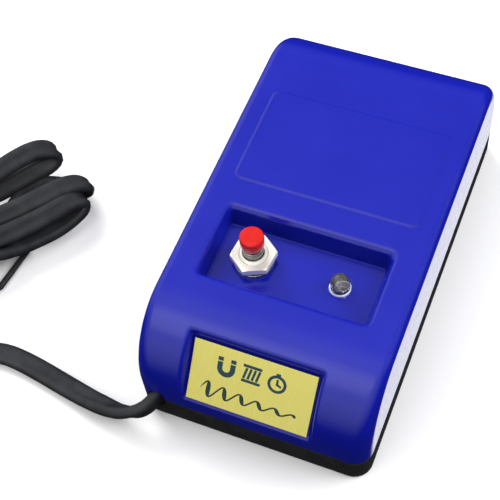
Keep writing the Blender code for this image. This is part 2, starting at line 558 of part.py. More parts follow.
# ---- cord clamp ----
bar = box(CLAMP[0] - 3.0, CLAMP[0] + 3.0, CLAMP[1] - 8.4, CLAMP[1] + 8.4, 9.7, 11.7)
for cy in (CLAMP[1] - 5.6, CLAMP[1] + 5.6):
    boolean(bar, rod(1.5, 8, 13, (CLAMP[0], cy), 16), "DIFFERENCE", "hole")
put(bar, "cord_clamp", ((0.80, 0.79, 0.74), 0.5), False)
for i, cy in enumerate((CLAMP[1] - 5.6, CLAMP[1] + 5.6)):
    put(turned([(0.0, 13.9), (1.5, 13.8), (2.3, 13.1), (2.3, 12.0), (1.15, 12.0), (1.15, 3.2), (0.4, 2.7), (0.0, 2.7)], 14, (CLAMP[0], cy)), f"cord_clamp_screw_{i + 1}", STEEL)

# ---- internal wires ----
INSIDE_END = (-6.0, -36.0, 7.85)
PVC_R = 0.65


def lead(route, name, color, r=PVC_R):
    put_curve(wire(smooth_path(route, 2.6), r, 1), name, (color, 0.5))


t1x, t2x = bx - 3.0, bx + 3.0
lead([(-5.4, -34.6, 7.85), (-3.4, -33.6, 7.6), (-2.6, -29.5, 6.6), (-4.2, -24.5, 5.6), (-6.8, -21.2, 6.0), (t2x, by, 8.0), (t2x, by, 9.2)], "wire_mains_to_switch", (0.30, 0.12, 0.05))
lead([(t1x, by - 0.75, 9.2), (t1x, by - 0.6, 8.0), (-15.0, -16.5, 5.8), (-17.6, -8.0, 5.0), (-19.6, -2.0, 7.0), (-18.6, 2.2, 13.0), (-15.4, 3.6, 17.2), (-14.6, 4.2, 18.6)], "wire_switch_to_coil", (0.45, 0.03, 0.03))
lead([(14.6, 4.2, 18.6), (15.6, 3.4, 15.6), (18.6, 0.6, 9.0), (20.0, -6.0, 5.2), (18.0, -16.0, 4.6), (11.5, -28.0, 4.8), (6.5, -36.4, 6.2), (2.9, -38.2, 7.2)], "wire_coil_to_mains", (0.03, 0.12, 0.40))
lead([(lx + 1.27, -33.1, 11.6), (11.6, -34.8, 11.0), (8.4, -36.2, 9.6), (2.9, -36.7, 8.6)], "wire_led_return", (0.03, 0.03, 0.03), 0.5)
lead([(lx - 1.27, -7.9, 11.6), (9.0, -6.6, 10.4), (3.0, -8.0, 6.6), (-6.0, -12.5, 5.6), (-12.6, -16.6, 6.4), (t1x, by + 0.75, 8.0), (t1x, by + 0.75, 9.2)], "wire_led_feed", (0.60, 0.55, 0.05), 0.5)
sl = solid_of(turned([(0.0, 2.2), (1.2, 2.2), (1.7, 1.7), (1.7, -4.9), (1.2, -5.4), (0.0, -5.4)], 16))
sl.data.transform(Matrix.Translation((0, -37.45 * MM, 7.9 * MM)) @ Matrix.Rotation(math.radians(90), 4, "Y"))
put(sl, "splice_sleeve", ((0.02, 0.02, 0.02), 0.6))

# ---- flat twin flex: free lead, hank, tail ----
LEAD_ROUTE = [
    (*INSIDE_END, 0),
    (-13.0, -36.0, 7.85, 0),
    (-17.6, -36.4, 7.9, 28),
    (-21.6, -38.6, 8.2, 65),
    (-24.0, -42.8, 8.7, 85),
    (EXIT_X, -48.5, EXIT_Z, 90),
    (EXIT_X, -54.0, EXIT_Z, 90),
    (-25.3, -57.0, 8.4, 88),
    (-28.2, -59.4, 7.0, 80),
    (-33.0, -60.2, 5.2, 60),
    (-39.5, -59.3, 3.3, 32),
    (-47.5, -57.8, 2.0, 8),
    (-56.0, -56.1, 1.6, 0),
    (-65.0, -54.7, 1.6, 0),
    (-72.0, -54.7, 1.6, 4),
    (-79.0, -57.6, 1.6, 22),
    (-86.0, -63.6, 2.3, 50),
    (-92.5, -71.8, 2.9, 74),
    (-99.0, -81.5, 3.0, 88),
    (-106.0, -92.0, 3.0, 90),
    (-114.0, -100.5, 3.0, 90),
    (-123.5, -105.6, 3.0, 90),
    (-133.0, -105.2, 3.0, 90),
    (-139.8, -99.6, 3.0, 90),
    (-142.0, -91.5, 3.4, 90),
    (*hank(-103.5, -11.6, 4.2), 90),
    (*hank(-98.2, -11.8, 5.2), 90),
]
put(flat_flex(LEAD_ROUTE, 3.6), "cord_lead", FLEX)

A3 = (HANK_A[0], HANK_A[1], 0.0)
TAIL_ROUTE = [
    (*hank(-39.3, -17.4, 4.6), *A3),
    (*hank(-38.6, -18.6, 2.6), *A3),
    (*hank(-37.6, -21.2, 1.9), 0.55, 0.8, 0.15),
    (*hank(-36.6, -25.0, 2.5), 0.35, 0.35, 0.8),
    (*hank(-38.2, -28.9, 3.1), 0.05, 0.0, 1.0),
    (*hank(-42.4, -30.9, 3.4), -0.3, 0.25, 0.9),
    (*hank(-46.6, -31.0, 4.4), -0.75, 0.5, 0.45),
    (*hank(-49.9, -31.0, 5.8), -HANK_N[0], -HANK_N[1], 0.0),
]
put(flat_flex(TAIL_ROUTE, 2.4), "cord_tail", FLEX)


def hank_slab(ts, z1, z0=0.15):
    return outline([hank(t, s, 0)[:2] for t, s in ts][::-1], z0, z1)


def lobe(t0, t1, s0, s1, way):
    """Outline of one end of the hank: straight at t0, rounded towards t1."""
    n, r = 9, (s1 - s0) / 2
    pts = [(t0, s0)]
    for k in range(n + 1):
        a = math.pi * k / n
        pts.append((t1 - way * r * 0.55 + way * r * 0.55 * math.sin(a), (s0 + s1) / 2 - r * math.cos(a)))
    return pts + [(t0, s1)]


def bundle(t0, t1, hs, hz, seg=28):
    """An oval bar along the hank from t0 to t1 with half sizes hs, hz."""
    b = bmesh.new()
    bmesh.ops.create_cone(b, cap_ends=True, segments=seg, radius1=1.0, radius2=1.0, depth=1.0)
    m = Matrix(((HANK_N[0] * hs, 0.0, HANK_A[0] * (t1 - t0), 0.0),
                (HANK_N[1] * hs, 0.0, HANK_A[1] * (t1 - t0), 0.0),
                (0.0, hz, 0.0, 0.0), (0, 0, 0, 1)))
    c = hank((t0 + t1) / 2, HANK_S, HANK_Z)
    b.transform(Matrix.Scale(MM, 4) @ Matrix.Translation(c) @ m)
    bmesh.ops.recalc_face_normals(b, faces=b.faces)
    return from_bm(b)


hk = bundle(-84.0, -38.3, WRAP_S, WRAP_Z)
boolean(hk, bundle(-40.0, -30.0, 9.8, 6.0), "UNION", "neck")
near = hank_slab(lobe(-32.5, 5.6, -20.6, 13.0, 1), 12.2)
boolean(hk, near, "UNION", "near_end")
far_end = hank_slab([(t, s) for t, s in lobe(-82.5, -97.8, -15.2, 8.0, -1)][::-1], 14.0)
boolean(hk, far_end, "UNION", "far_end")
put(hk, "cord_hank", FLEX)

TIE_R = 0.9
tie = []
for k in range(25):
    a = math.radians(-25 + 360 * k / 24)
    tie.append(hank(-36.6 + 2.1 * k / 24, HANK_S + 11.9 * math.cos(a), HANK_Z + 7.9 * math.sin(a)))
tie += [hank(-34.2, 10.4, 3.4), hank(-33.6, 13.4, 1.7), hank(-31.0, 14.6, 1.0), hank(-27.5, 14.9, 0.95), hank(-23.5, 15.0, 0.95)]
put_curve(wire([tuple(p) for p in smooth_path(tie, 2.2)], TIE_R, 1), "cord_tie", ((0.02, 0.02, 0.02), 0.4))

# ---- plug ----
ps = -31.0
plug_out = [(-50.4, ps - 3.9), (-50.4, ps + 3.9), (-57.0, ps + 4.6), (-60.0, ps + 7.0), (-64.0, ps + 9.6), (-80.0, ps + 11.2),
            (-81.5, ps + 10.4), (-81.5, ps - 10.4), (-80.0, ps - 11.2), (-64.0, ps - 9.6), (-60.0, ps - 7.0), (-57.0, ps - 4.6)]
plug = outline([hank(t, s, 0)[:2] for t, s in plug_out], 0.0, 11.6)
BLADE_Z = 5.8
for s in (-6.35, 6.35):
    pk = hank(-78.0, ps + s, BLADE_Z)
    b = box(-1.05, 1.05, -4.5, 4.5, -3.45, 3.45)
    b.data.transform(Matrix.Translation(Vector(pk) * MM) @ Matrix.Rotation(math.atan2(HANK_A[1], HANK_A[0]) - math.pi / 2, 4, "Z"))
    boolean(plug, b, "DIFFERENCE", "blade_pocket")
put(plug, "plug_body", BLACK)
for i, s in enumerate((-6.35, 6.35)):
    c = hank(-85.6, ps + s, BLADE_Z)
    b = box(-0.75, 0.75, -12.0, 11.4, -3.15, 3.15)
    b.data.transform(Matrix.Translation(Vector(c) * MM) @ Matrix.Rotation(math.atan2(HANK_A[1], HANK_A[0]) - math.pi / 2, 4, "Z"))
    put(b, f"plug_blade_{i + 1}", NICKEL, False)

# ---- the moving pieces hang on an empty on the button's axis ----
axis = bpy.data.objects.new("button_axis", None)
parts.objects.link(axis)
axis.location = (BUTTON[0] * MM, BUTTON[1] * MM, POCKET_FLOOR * MM)
bpy.context.view_layer.update()
for name in ("button_cap", "button_plunger", "switch_contact", "switch_spring"):
    piece = bpy.data.objects[name]
    piece.parent = axis
    piece.matrix_parent_inverse = axis.matrix_world.inverted()
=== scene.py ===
"""Looks of the watch demagnetizer: moulded blue housing, black base, push button, indicator, gold plate, hanked flat flex."""
import math

import bmesh
import bpy
import numpy as np
from mathutils import Matrix, Vector


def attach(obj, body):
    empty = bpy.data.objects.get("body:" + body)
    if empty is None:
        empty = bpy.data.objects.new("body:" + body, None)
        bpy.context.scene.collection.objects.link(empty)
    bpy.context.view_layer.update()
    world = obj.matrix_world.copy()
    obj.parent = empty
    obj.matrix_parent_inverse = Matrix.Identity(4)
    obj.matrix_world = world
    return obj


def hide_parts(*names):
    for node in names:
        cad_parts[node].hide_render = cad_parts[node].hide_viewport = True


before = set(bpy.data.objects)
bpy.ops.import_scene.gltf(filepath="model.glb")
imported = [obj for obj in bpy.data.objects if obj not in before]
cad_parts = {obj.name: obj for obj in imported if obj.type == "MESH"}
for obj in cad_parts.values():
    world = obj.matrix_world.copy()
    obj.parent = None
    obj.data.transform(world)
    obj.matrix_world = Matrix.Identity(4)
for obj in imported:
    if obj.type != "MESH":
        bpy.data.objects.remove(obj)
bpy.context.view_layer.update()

MM = 0.001
BODY, BUTTON_BODY = "body", "button"

# ---- camera ----
cam_data = bpy.data.cameras.new("camera")
cam_data.sensor_width = 36.0
cam_data.lens = 85.18
cam_data.clip_start = 0.01
cam_data.clip_end = 20.0
camera = bpy.data.objects.new("camera", cam_data)
bpy.context.scene.collection.objects.link(camera)
RIGHT = Vector((0.92620, 0.37054, -0.06967))
UP = Vector((-0.28062, 0.80090, 0.52898))
BACK = Vector((0.25180, -0.47039, 0.84577))
camera.matrix_world = Matrix.Translation(Vector((60.122, -154.837, 274.177)) * MM) @ Matrix((
    (RIGHT.x, UP.x, BACK.x, 0), (RIGHT.y, UP.y, BACK.y, 0), (RIGHT.z, UP.z, BACK.z, 0), (0, 0, 0, 1)))
bpy.context.scene.camera = camera

# ---- dimensions, mm, as in the CAD ----
WIDTH, LENGTH, TOP_Z, SEAM_Z, WALL = 60.0, 110.0, 33.0, 9.0, 2.0
FRONT_R, REAR_R, PLAN_R, EDGE_R, FOOT_H = 19.0, 16.0, 4.8, 2.3, 0.8
POCKET_X, POCKET_Y0, POCKET_Y1, POCKET_FLOOR, POCKET_DRAFT = 21.6, -30.6, -9.9, 27.5, 0.9
BUTTON, LED = (-11.1, -20.2), (11.1, -20.2)
AREA = (-24.0, 24.6, -1.9, 27.6)
AREA_H = 0.25
LABEL_X, LABEL_W, LABEL_T = -0.7, 31.0, 0.4
LABEL_TOP, LABEL_LOW = (-45.0, 28.6), (-54.7, 15.2)
LABEL_H = math.hypot(LABEL_TOP[0] - LABEL_LOW[0], LABEL_TOP[1] - LABEL_LOW[1])
BOSSES = ((-19.6, -46.0), (19.6, -46.0), (-23.3, 46.5), (23.3, 46.5))
EXIT_X, EXIT_Z = -24.5, 8.9
FLEX_W, FLEX_T = 5.8, 3.0
HANK_O, HANK_A, HANK_N = (-76.0, -3.0), (0.529, 0.8486), (0.8486, -0.529)


# ---- helpers ----
def link(o):
    bpy.context.scene.collection.objects.link(o)
    return o


def mesh_object(name, verts, faces):
    """A mesh object from points in mm."""
    me = bpy.data.meshes.new(name)
    me.from_pydata([tuple(float(c) * MM for c in v) for v in verts], [], [tuple(int(i) for i in f) for f in faces])
    me.validate()
    me.update()
    return link(bpy.data.objects.new(name, me))


def from_bm(bm, name="piece"):
    me = bpy.data.meshes.new(name)
    bm.to_mesh(me)
    bm.free()
    return link(bpy.data.objects.new(name, me))


def shade(o, angle=35.0, smooth=True):
    me = o.data
    if smooth:
        me.shade_smooth()
        me.set_sharp_from_angle(angle=math.radians(angle))
    else:
        me.shade_flat()
    return o


def modifiers_applied(o):
    """The object with its modifiers built into a plain mesh."""
    bpy.context.view_layer.update()
    dg = bpy.context.evaluated_depsgraph_get()
    me = bpy.data.meshes.new_from_object(o.evaluated_get(dg))
    o.modifiers.clear()
    o.data = me
    return o


def cut(o, cutter, how="DIFFERENCE", solver="EXACT"):
    m = o.modifiers.new("cut", "BOOLEAN")
    m.operation = how
    m.solver = solver
    m.object = cutter
    modifiers_applied(o)
    bpy.data.objects.remove(cutter, do_unlink=True)
    return o


def bevelled(o, width, seg=3, angle=35.0):
    b = o.modifiers.new("edges", "BEVEL")
    b.width = width * MM
    b.segments = seg
    b.limit_method = "ANGLE"
    b.angle_limit = math.radians(angle)
    b.use_clamp_overlap = True
    b.harden_normals = False
    return modifiers_applied(o)


def weighted(o):
    w = o.modifiers.new("normals", "WEIGHTED_NORMAL")
    w.keep_sharp = True
    w.weight = 60
    return o


def turned(name, profile, seg=64, at=(0.0, 0.0)):
    """A closed body turned about Z from an (r, z) profile that runs from the axis or a bore, mm."""
    pts = list(profile)
    ring = pts[0][0] > 1e-6
    verts, faces, idx = [], [], []
    for r, z in pts:
        if r < 1e-6:
            idx.append([len(verts)] * seg)
            verts.append((at[0], at[1], z))
        else:
            idx.append(list(range(len(verts), len(verts) + seg)))
            for k in range(seg):
                a = math.tau * k / seg
                verts.append((at[0] + r * math.cos(a), at[1] + r * math.sin(a), z))
    pairs = list(zip(idx, idx[1:])) + ([(idx[-1], idx[0])] if ring else [])
    for a, b in pairs:
        for k in range(seg):
            j = (k + 1) % seg
            f = [a[k], a[j], b[j], b[k]]
            g = [f[i] for i in range(4) if f[i] != f[i - 1]]
            if len(set(g)) >= 3:
                faces.append(g)
    o = mesh_object(name, verts, faces)
    bm = bmesh.new()
    bm.from_mesh(o.data)
    bmesh.ops.recalc_face_normals(bm, faces=bm.faces)
    bm.to_mesh(o.data)
    bm.free()
    return shade(o)


def block(name, x0, x1, y0, y1, z0, z1, m=None):
    bm = bmesh.new()
    bmesh.ops.create_cube(bm, size=1.0)
    for v in bm.verts:
        v.co = Vector(((x1 if v.co.x > 0 else x0), (y1 if v.co.y > 0 else y0), (z1 if v.co.z > 0 else z0)))
    if m is not None:
        bm.transform(m)
    bm.transform(Matrix.Scale(MM, 4))
    return from_bm(bm, name)


def prism(name, points, z0, z1, m=None):
    """A closed prism on an outline given counter-clockwise in XY, mm."""
    n = len(points)
    verts = [Vector((x, y, z)) for z in (z0, z1) for x, y in points]
    if m is not None:
        verts = [m @ v for v in verts]
    faces = [tuple(range(n - 1, -1, -1)), tuple(range(n, 2 * n))]
    faces += [(i, (i + 1) % n, n + (i + 1) % n, n + i) for i in range(n)]
    return mesh_object(name, verts, faces)


def arc(cx, cy, r, a0, a1, n):
    return [(cx + r * math.cos(math.radians(a0 + (a1 - a0) * k / n)), cy + r * math.sin(math.radians(a0 + (a1 - a0) * k / n))) for k in range(n + 1)]


def round_rect(x0, x1, y0, y1, r, n=8):
    pts = []
    for cx, cy, a0 in ((x1 - r, y1 - r, 0), (x0 + r, y1 - r, 90), (x0 + r, y0 + r, 180), (x1 - r, y0 + r, 270)):
        pts += arc(cx, cy, r, a0, a0 + 90, n)
    return pts


# ---- materials ----
def material(name, a, b, tint=180.0, rough=(0.3, 0.4), rough_scale=900.0, bumps=(), metal=0.0, stretch=(1, 1, 1), lo=0.35, hi=0.65, **const):
    """Two close tones and a roughness mixed by noise, with bumps (kind, scale, strength, distance in mm, stretch)."""
    m = bpy.data.materials.new(name)
    m.use_nodes = True
    nt = m.node_tree
    bs = nt.nodes["Principled BSDF"]
    tc = nt.nodes.new("ShaderNodeTexCoord")

    def noise(scale, detail=4.0, st=(1, 1, 1)):
        mp = nt.nodes.new("ShaderNodeMapping")
        mp.inputs["Scale"].default_value = st
        nt.links.new(tc.outputs["Object"], mp.inputs["Vector"])
        n = nt.nodes.new("ShaderNodeTexNoise")
        n.inputs["Scale"].default_value = scale
        n.inputs["Detail"].default_value = detail
        nt.links.new(mp.outputs["Vector"], n.inputs["Vector"])
        return n.outputs["Fac"]

    ramp = nt.nodes.new("ShaderNodeValToRGB")
    ramp.color_ramp.elements[0].position = lo
    ramp.color_ramp.elements[0].color = (*a, 1.0)
    ramp.color_ramp.elements[1].position = hi
    ramp.color_ramp.elements[1].color = (*b, 1.0)
    nt.links.new(noise(tint, 5.0, stretch), ramp.inputs["Fac"])
    nt.links.new(ramp.outputs["Color"], bs.inputs["Base Color"])
    mr = nt.nodes.new("ShaderNodeMapRange")
    mr.inputs["From Min"].default_value = 0.3
    mr.inputs["From Max"].default_value = 0.7
    mr.inputs["To Min"].default_value = rough[0]
    mr.inputs["To Max"].default_value = rough[1]
    nt.links.new(noise(rough_scale, 3.0, stretch), mr.inputs["Value"])
    nt.links.new(mr.outputs["Result"], bs.inputs["Roughness"])
    last = None
    for kind, scale, strength, distance, st in bumps:
        bp = nt.nodes.new("ShaderNodeBump")
        bp.inputs["Strength"].default_value = strength
        bp.inputs["Distance"].default_value = distance * MM
        if kind == "noise":
            h = noise(scale, 3.0, st)
        else:
            mp = nt.nodes.new("ShaderNodeMapping")
            mp.inputs["Scale"].default_value = st
            nt.links.new(tc.outputs["Object"], mp.inputs["Vector"])
            if kind == "voronoi":
                t = nt.nodes.new("ShaderNodeTexVoronoi")
                t.inputs["Scale"].default_value = scale
                nt.links.new(mp.outputs["Vector"], t.inputs["Vector"])
                h = t.outputs["Distance"]
            else:
                t = nt.nodes.new("ShaderNodeTexWave")
                t.wave_type = "BANDS"
                t.bands_direction = kind[-1]
                t.inputs["Scale"].default_value = scale
                t.inputs["Distortion"].default_value = 0.4
                t.inputs["Detail"].default_value = 1.0
                nt.links.new(mp.outputs["Vector"], t.inputs["Vector"])
                h = t.outputs["Fac"]
        nt.links.new(h, bp.inputs["Height"])
        if last is not None:
            nt.links.new(last, bp.inputs["Normal"])
        last = bp.outputs["Normal"]
    if last is not None:
        nt.links.new(last, bs.inputs["Normal"])
    bs.inputs["Metallic"].default_value = metal
    for k, v in const.items():
        bs.inputs[k.replace("_", " ")].default_value = v
    return m


ONE = (1, 1, 1)
MAT = {
    "housing_blue": material("housing_blue", (0.0040, 0.0078, 0.270), (0.0055, 0.0098, 0.288), 60.0, (0.14, 0.20), 500.0,
                             (("noise", 260.0, 0.05, 0.05, ONE), ("noise", 2600.0, 0.10, 0.012, ONE)), IOR=1.5, Specular_IOR_Level=0.42),
    # a darker, less glossy copy of the housing blue: painted shade for the pocket's far wall and the fillet at its foot
    "housing_painted_shade": material("housing_painted_shade", (0.0030, 0.0060, 0.190), (0.0042, 0.0075, 0.205), 60.0, (0.26, 0.34), 500.0,
                              (("noise", 260.0, 0.05, 0.05, ONE),), IOR=1.5, Specular_IOR_Level=0.10),
    "base_black": material("base_black", (0.018, 0.018, 0.019), (0.026, 0.026, 0.027), 300.0, (0.36, 0.48), 1500.0,
                           (("voronoi", 1700.0, 0.20, 0.03, ONE), ("noise", 3600.0, 0.25, 0.02, ONE)), Specular_IOR_Level=0.0),
    "gold_plate": material("gold_plate", (0.815, 0.74, 0.185), (0.85, 0.775, 0.225), 420.0, (0.30, 0.42), 900.0,
                           (("noise", 900.0, 0.05, 0.010, (9, 0.5, 0.5)),), metal=1.0, stretch=(8, 0.5, 0.5)),
    "label_ink": material("label_ink", (0.001, 0.034, 0.05), (0.002, 0.048, 0.064), 900.0, (0.35, 0.5), 1800.0, (("noise", 4000.0, 0.2, 0.01, ONE),)),
    "label_ink_dark": material("label_ink_dark", (0.001, 0.02, 0.018), (0.002, 0.032, 0.026), 900.0, (0.35, 0.5), 1800.0, (("noise", 4000.0, 0.2, 0.01, ONE),)),
    "red_cap": material("red_cap", (0.46, 0.008, 0.006), (0.51, 0.012, 0.009), 700.0, (0.30, 0.38), 1600.0,
                        (("noise", 1400.0, 0.08, 0.02, ONE),), IOR=1.5, Specular_IOR_Level=0.28, Subsurface_Weight=0.05, Subsurface_Scale=0.0006),
    "nickel": material("nickel", (0.875, 0.85, 0.775), (0.905, 0.88, 0.81), 220.0, (0.26, 0.29), 400.0,
                       (("noise", 320.0, 0.05, 0.01, ONE),), metal=0.5),
    "chrome": material("chrome", (0.15, 0.148, 0.145), (0.23, 0.227, 0.224), 900.0, (0.07, 0.13), 2500.0,
                       (("noise", 1800.0, 0.05, 0.01, ONE),), metal=1.0),
    "steel": material("steel", (0.46, 0.47, 0.48), (0.60, 0.61, 0.62), 700.0, (0.26, 0.42), 2000.0,
                      (("noise", 3000.0, 0.15, 0.015, ONE),), metal=1.0),
    "brass_contact": material("brass_contact", (0.66, 0.46, 0.16), (0.80, 0.60, 0.26), 700.0, (0.24, 0.40), 2000.0,
                              (("noise", 3000.0, 0.15, 0.015, ONE),), metal=1.0),
    "phenolic": material("phenolic", (0.10, 0.040, 0.016), (0.16, 0.065, 0.028), 900.0, (0.40, 0.55), 1500.0, (("noise", 2600.0, 0.3, 0.03, ONE),)),
    "clear_lens": material("clear_lens", (0.60, 0.60, 0.61), (0.68, 0.68, 0.69), 900.0, (0.05, 0.08), 800.0,
                           (("noise", 900.0, 0.03, 0.02, ONE),), Transmission_Weight=0.93, IOR=1.49, Coat_Weight=0.5, Coat_Roughness=0.02),
    "core_steel": material("core_steel", (0.16, 0.17, 0.19), (0.27, 0.28, 0.30), 500.0, (0.34, 0.5), 1500.0,
                           (("waveY", 320.0, 0.6, 0.08, ONE), ("noise", 2500.0, 0.2, 0.02, ONE)), metal=0.9),
    "bobbin_nylon": material("bobbin_nylon", (0.72, 0.69, 0.60), (0.80, 0.78, 0.70), 400.0, (0.42, 0.55), 1200.0, (("noise", 2200.0, 0.25, 0.03, ONE),)),
    "copper_wire": material("copper_wire", (0.52, 0.18, 0.06), (0.68, 0.28, 0.10), 800.0, (0.24, 0.38), 1500.0,
                            (("waveZ", 900.0, 0.8, 0.08, ONE),), metal=1.0),
    "coil_tape": material("coil_tape", (0.74, 0.46, 0.04), (0.82, 0.56, 0.07), 300.0, (0.28, 0.42), 900.0, (("noise", 500.0, 0.25, 0.06, ONE),)),
    "resistor_body": material("resistor_body", (0.34, 0.42, 0.52), (0.44, 0.52, 0.62), 900.0, (0.35, 0.5), 1500.0, (("noise", 2600.0, 0.25, 0.02, ONE),)),
    "diode_body": material("diode_body", (0.014, 0.014, 0.015), (0.024, 0.024, 0.025), 900.0, (0.3, 0.45), 1500.0, (("noise", 2600.0, 0.25, 0.02, ONE),)),
    "sleeve_black": material("sleeve_black", (0.014, 0.014, 0.015), (0.024, 0.024, 0.026), 600.0, (0.5, 0.65), 1500.0, (("noise", 1500.0, 0.3, 0.04, ONE),)),
    "flex_black": material("flex_black", (0.014, 0.0145, 0.017), (0.024, 0.025, 0.029), 260.0, (0.36, 0.50), 1100.0,
                           (("noise", 900.0, 0.16, 0.05, ONE), ("noise", 4200.0, 0.22, 0.02, ONE)), IOR=1.5, Specular_IOR_Level=0.32),
    "tie_black": material("tie_black", (0.010, 0.010, 0.011), (0.020, 0.020, 0.021), 500.0, (0.32, 0.46), 1500.0, (("noise", 1500.0, 0.25, 0.04, ONE),)),
    "plug_black": material("plug_black", (0.013, 0.013, 0.014), (0.022, 0.022, 0.023), 300.0, (0.34, 0.48), 1200.0,
                           (("voronoi", 1500.0, 0.18, 0.03, ONE), ("noise", 3600.0, 0.25, 0.02, ONE))),
    "wire_brown": material("wire_brown", (0.10, 0.034, 0.014), (0.15, 0.052, 0.022), 600.0, (0.4, 0.52), 1500.0, (("noise", 1500.0, 0.2, 0.03, ONE),)),
    "wire_red": material("wire_red", (0.38, 0.012, 0.012), (0.50, 0.020, 0.018), 600.0, (0.4, 0.52), 1500.0, (("noise", 1500.0, 0.2, 0.03, ONE),)),
    "wire_blue": material("wire_blue", (0.02, 0.09, 0.34), (0.03, 0.13, 0.44), 600.0, (0.4, 0.52), 1500.0, (("noise", 1500.0, 0.2, 0.03, ONE),)),
    "wire_black": material("wire_black", (0.014, 0.014, 0.015), (0.024, 0.024, 0.026), 600.0, (0.4, 0.52), 1500.0, (("noise", 1500.0, 0.2, 0.03, ONE),)),
    "wire_yellow": material("wire_yellow", (0.58, 0.48, 0.03), (0.70, 0.60, 0.05), 600.0, (0.4, 0.52), 1500.0, (("noise", 1500.0, 0.2, 0.03, ONE),)),
    # near-white and opaque: painted highlight for the ring round the indicator lens
    "led_painted_glint": material("led_painted_glint", (0.82, 0.84, 0.93), (0.92, 0.93, 0.98), 900.0, (0.08, 0.16), 2000.0, (("noise", 1500.0, 0.1, 0.02, ONE),), Transmission_Weight=0.0, IOR=1.49),
    "spacer": material("spacer", (0.20, 0.20, 0.20), (0.42, 0.42, 0.41), 900.0, (0.22, 0.36), 2000.0, (("noise", 2500.0, 0.2, 0.02, ONE),), metal=1.0),
    "led_cup": material("led_cup", (0.34, 0.34, 0.34), (0.46, 0.46, 0.455), 900.0, (0.15, 0.3), 2000.0, (("noise", 2500.0, 0.2, 0.02, ONE),), metal=1.0),
    "led_die": material("led_die", (0.30, 0.28, 0.14), (0.42, 0.40, 0.22), 1500.0, (0.3, 0.4), 2000.0, (("noise", 2500.0, 0.2, 0.02, ONE),)),
}


def dress(o, body, slot, *nodes, mat=None):
    """Give a piece its material, chosen by slot unless mat is given, put it in its body and hide the CAD nodes that it
    stands for.
    """
    o.data.materials.clear()
    o.data.materials.append(MAT[mat or slot])
    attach(o, body)
    if nodes:
        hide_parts(*nodes)
    return o


# ---- flat twin flex ----
def smooth_path(route, step):
    """Points every step mm on a smooth curve through the route's points (any number of columns)."""
    p = np.array(route, float)
    n = len(p)
    ext = np.vstack([2 * p[0] - p[1], p, 2 * p[-1] - p[-2]])
    fine = []
    for i in range(1, n):
        p0, p1, p2, p3 = ext[i - 1], ext[i], ext[i + 1], ext[i + 2]
        t0 = 0.0
        t1 = t0 + max(np.linalg.norm((p1 - p0)[:3]), 1e-6) ** 0.5
        t2 = t1 + max(np.linalg.norm((p2 - p1)[:3]), 1e-6) ** 0.5
        t3 = t2 + max(np.linalg.norm((p3 - p2)[:3]), 1e-6) ** 0.5
        for t in np.linspace(t1, t2, 24, endpoint=False):
            a1 = (t1 - t) / (t1 - t0) * p0 + (t - t0) / (t1 - t0) * p1
            a2 = (t2 - t) / (t2 - t1) * p1 + (t - t1) / (t2 - t1) * p2
            a3 = (t3 - t) / (t3 - t2) * p2 + (t - t2) / (t3 - t2) * p3
            b1 = (t2 - t) / (t2 - t0) * a1 + (t - t0) / (t2 - t0) * a2
            b2 = (t3 - t) / (t3 - t1) * a2 + (t - t1) / (t3 - t1) * a3
            fine.append((t2 - t) / (t2 - t1) * b1 + (t - t1) / (t2 - t1) * b2)
    fine.append(p[-1])
    fine = np.array(fine)
    run = np.concatenate([[0.0], np.cumsum(np.linalg.norm(np.diff(fine[:, :3], axis=0), axis=1))])
    count = max(2, int(round(run[-1] / step)) + 1)
    at = np.linspace(0.0, run[-1], count)
    return np.stack([np.interp(at, run, fine[:, k]) for k in range(p.shape[1])], 1)


def hank(t, s, z):
    """A point given along and across the hank, in the row frame, mm."""
    return (HANK_O[0] + t * HANK_A[0] + s * HANK_N[0], HANK_O[1] + t * HANK_A[1] + s * HANK_N[1], z)


A3 = np.array((HANK_A[0], HANK_A[1], 0.0))
N3 = np.array((HANK_N[0], HANK_N[1], 0.0))
Z3 = np.array((0.0, 0.0, 1.0))

# the lead from the clamp inside, out of the near wall and round to the hank's far end: x, y, z, roll
LEAD_ROUTE = [
    (-6.0, -36.0, 7.85, 0), (-13.0, -36.0, 7.85, 0), (-17.6, -36.4, 7.9, 28), (-21.6, -38.6, 8.2, 65),
    (-24.0, -42.8, 8.7, 85), (EXIT_X, -48.5, EXIT_Z, 90), (EXIT_X, -54.0, EXIT_Z, 90),
    (-25.3, -57.0, 8.4, 88), (-28.2, -59.4, 7.0, 76), (-33.0, -60.2, 5.0, 48), (-39.5, -59.3, 3.0, 20),
    (-47.5, -57.8, 1.8, 5), (-56.0, -56.1, 1.6, 0), (-65.0, -54.7, 1.6, 0), (-72.0, -54.7, 1.6, 4),
    (-79.0, -57.6, 1.6, 22), (-86.0, -63.6, 2.3, 50), (-92.5, -71.8, 2.9, 74), (-99.0, -81.5, 3.0, 88),
    (-106.0, -92.0, 3.0, 90), (-114.0, -100.5, 3.0, 90), (-123.5, -105.6, 3.0, 90), (-133.0, -105.2, 3.0, 90),
    (-139.8, -99.6, 3.0, 90), (-142.0, -91.5, 3.4, 90), (*hank(-103.5, -11.6, 4.2), 90), (*hank(-98.2, -11.8, 5.2), 90),
]
SLOT_Z = 9.0
SLOTS = [-4.0 + (i - 2.5) * 3.1 for i in range(6)]


def w_sz(angle):
    """A width direction in the plane across the hank: 0 along s, 90 straight up."""
    return math.cos(math.radians(angle)) * N3 + math.sin(math.radians(angle)) * Z3


def row(t, s, z, w):
    return (*hank(t, s, z), *(w_sz(w) if np.isscalar(w) else np.array(w, float)))


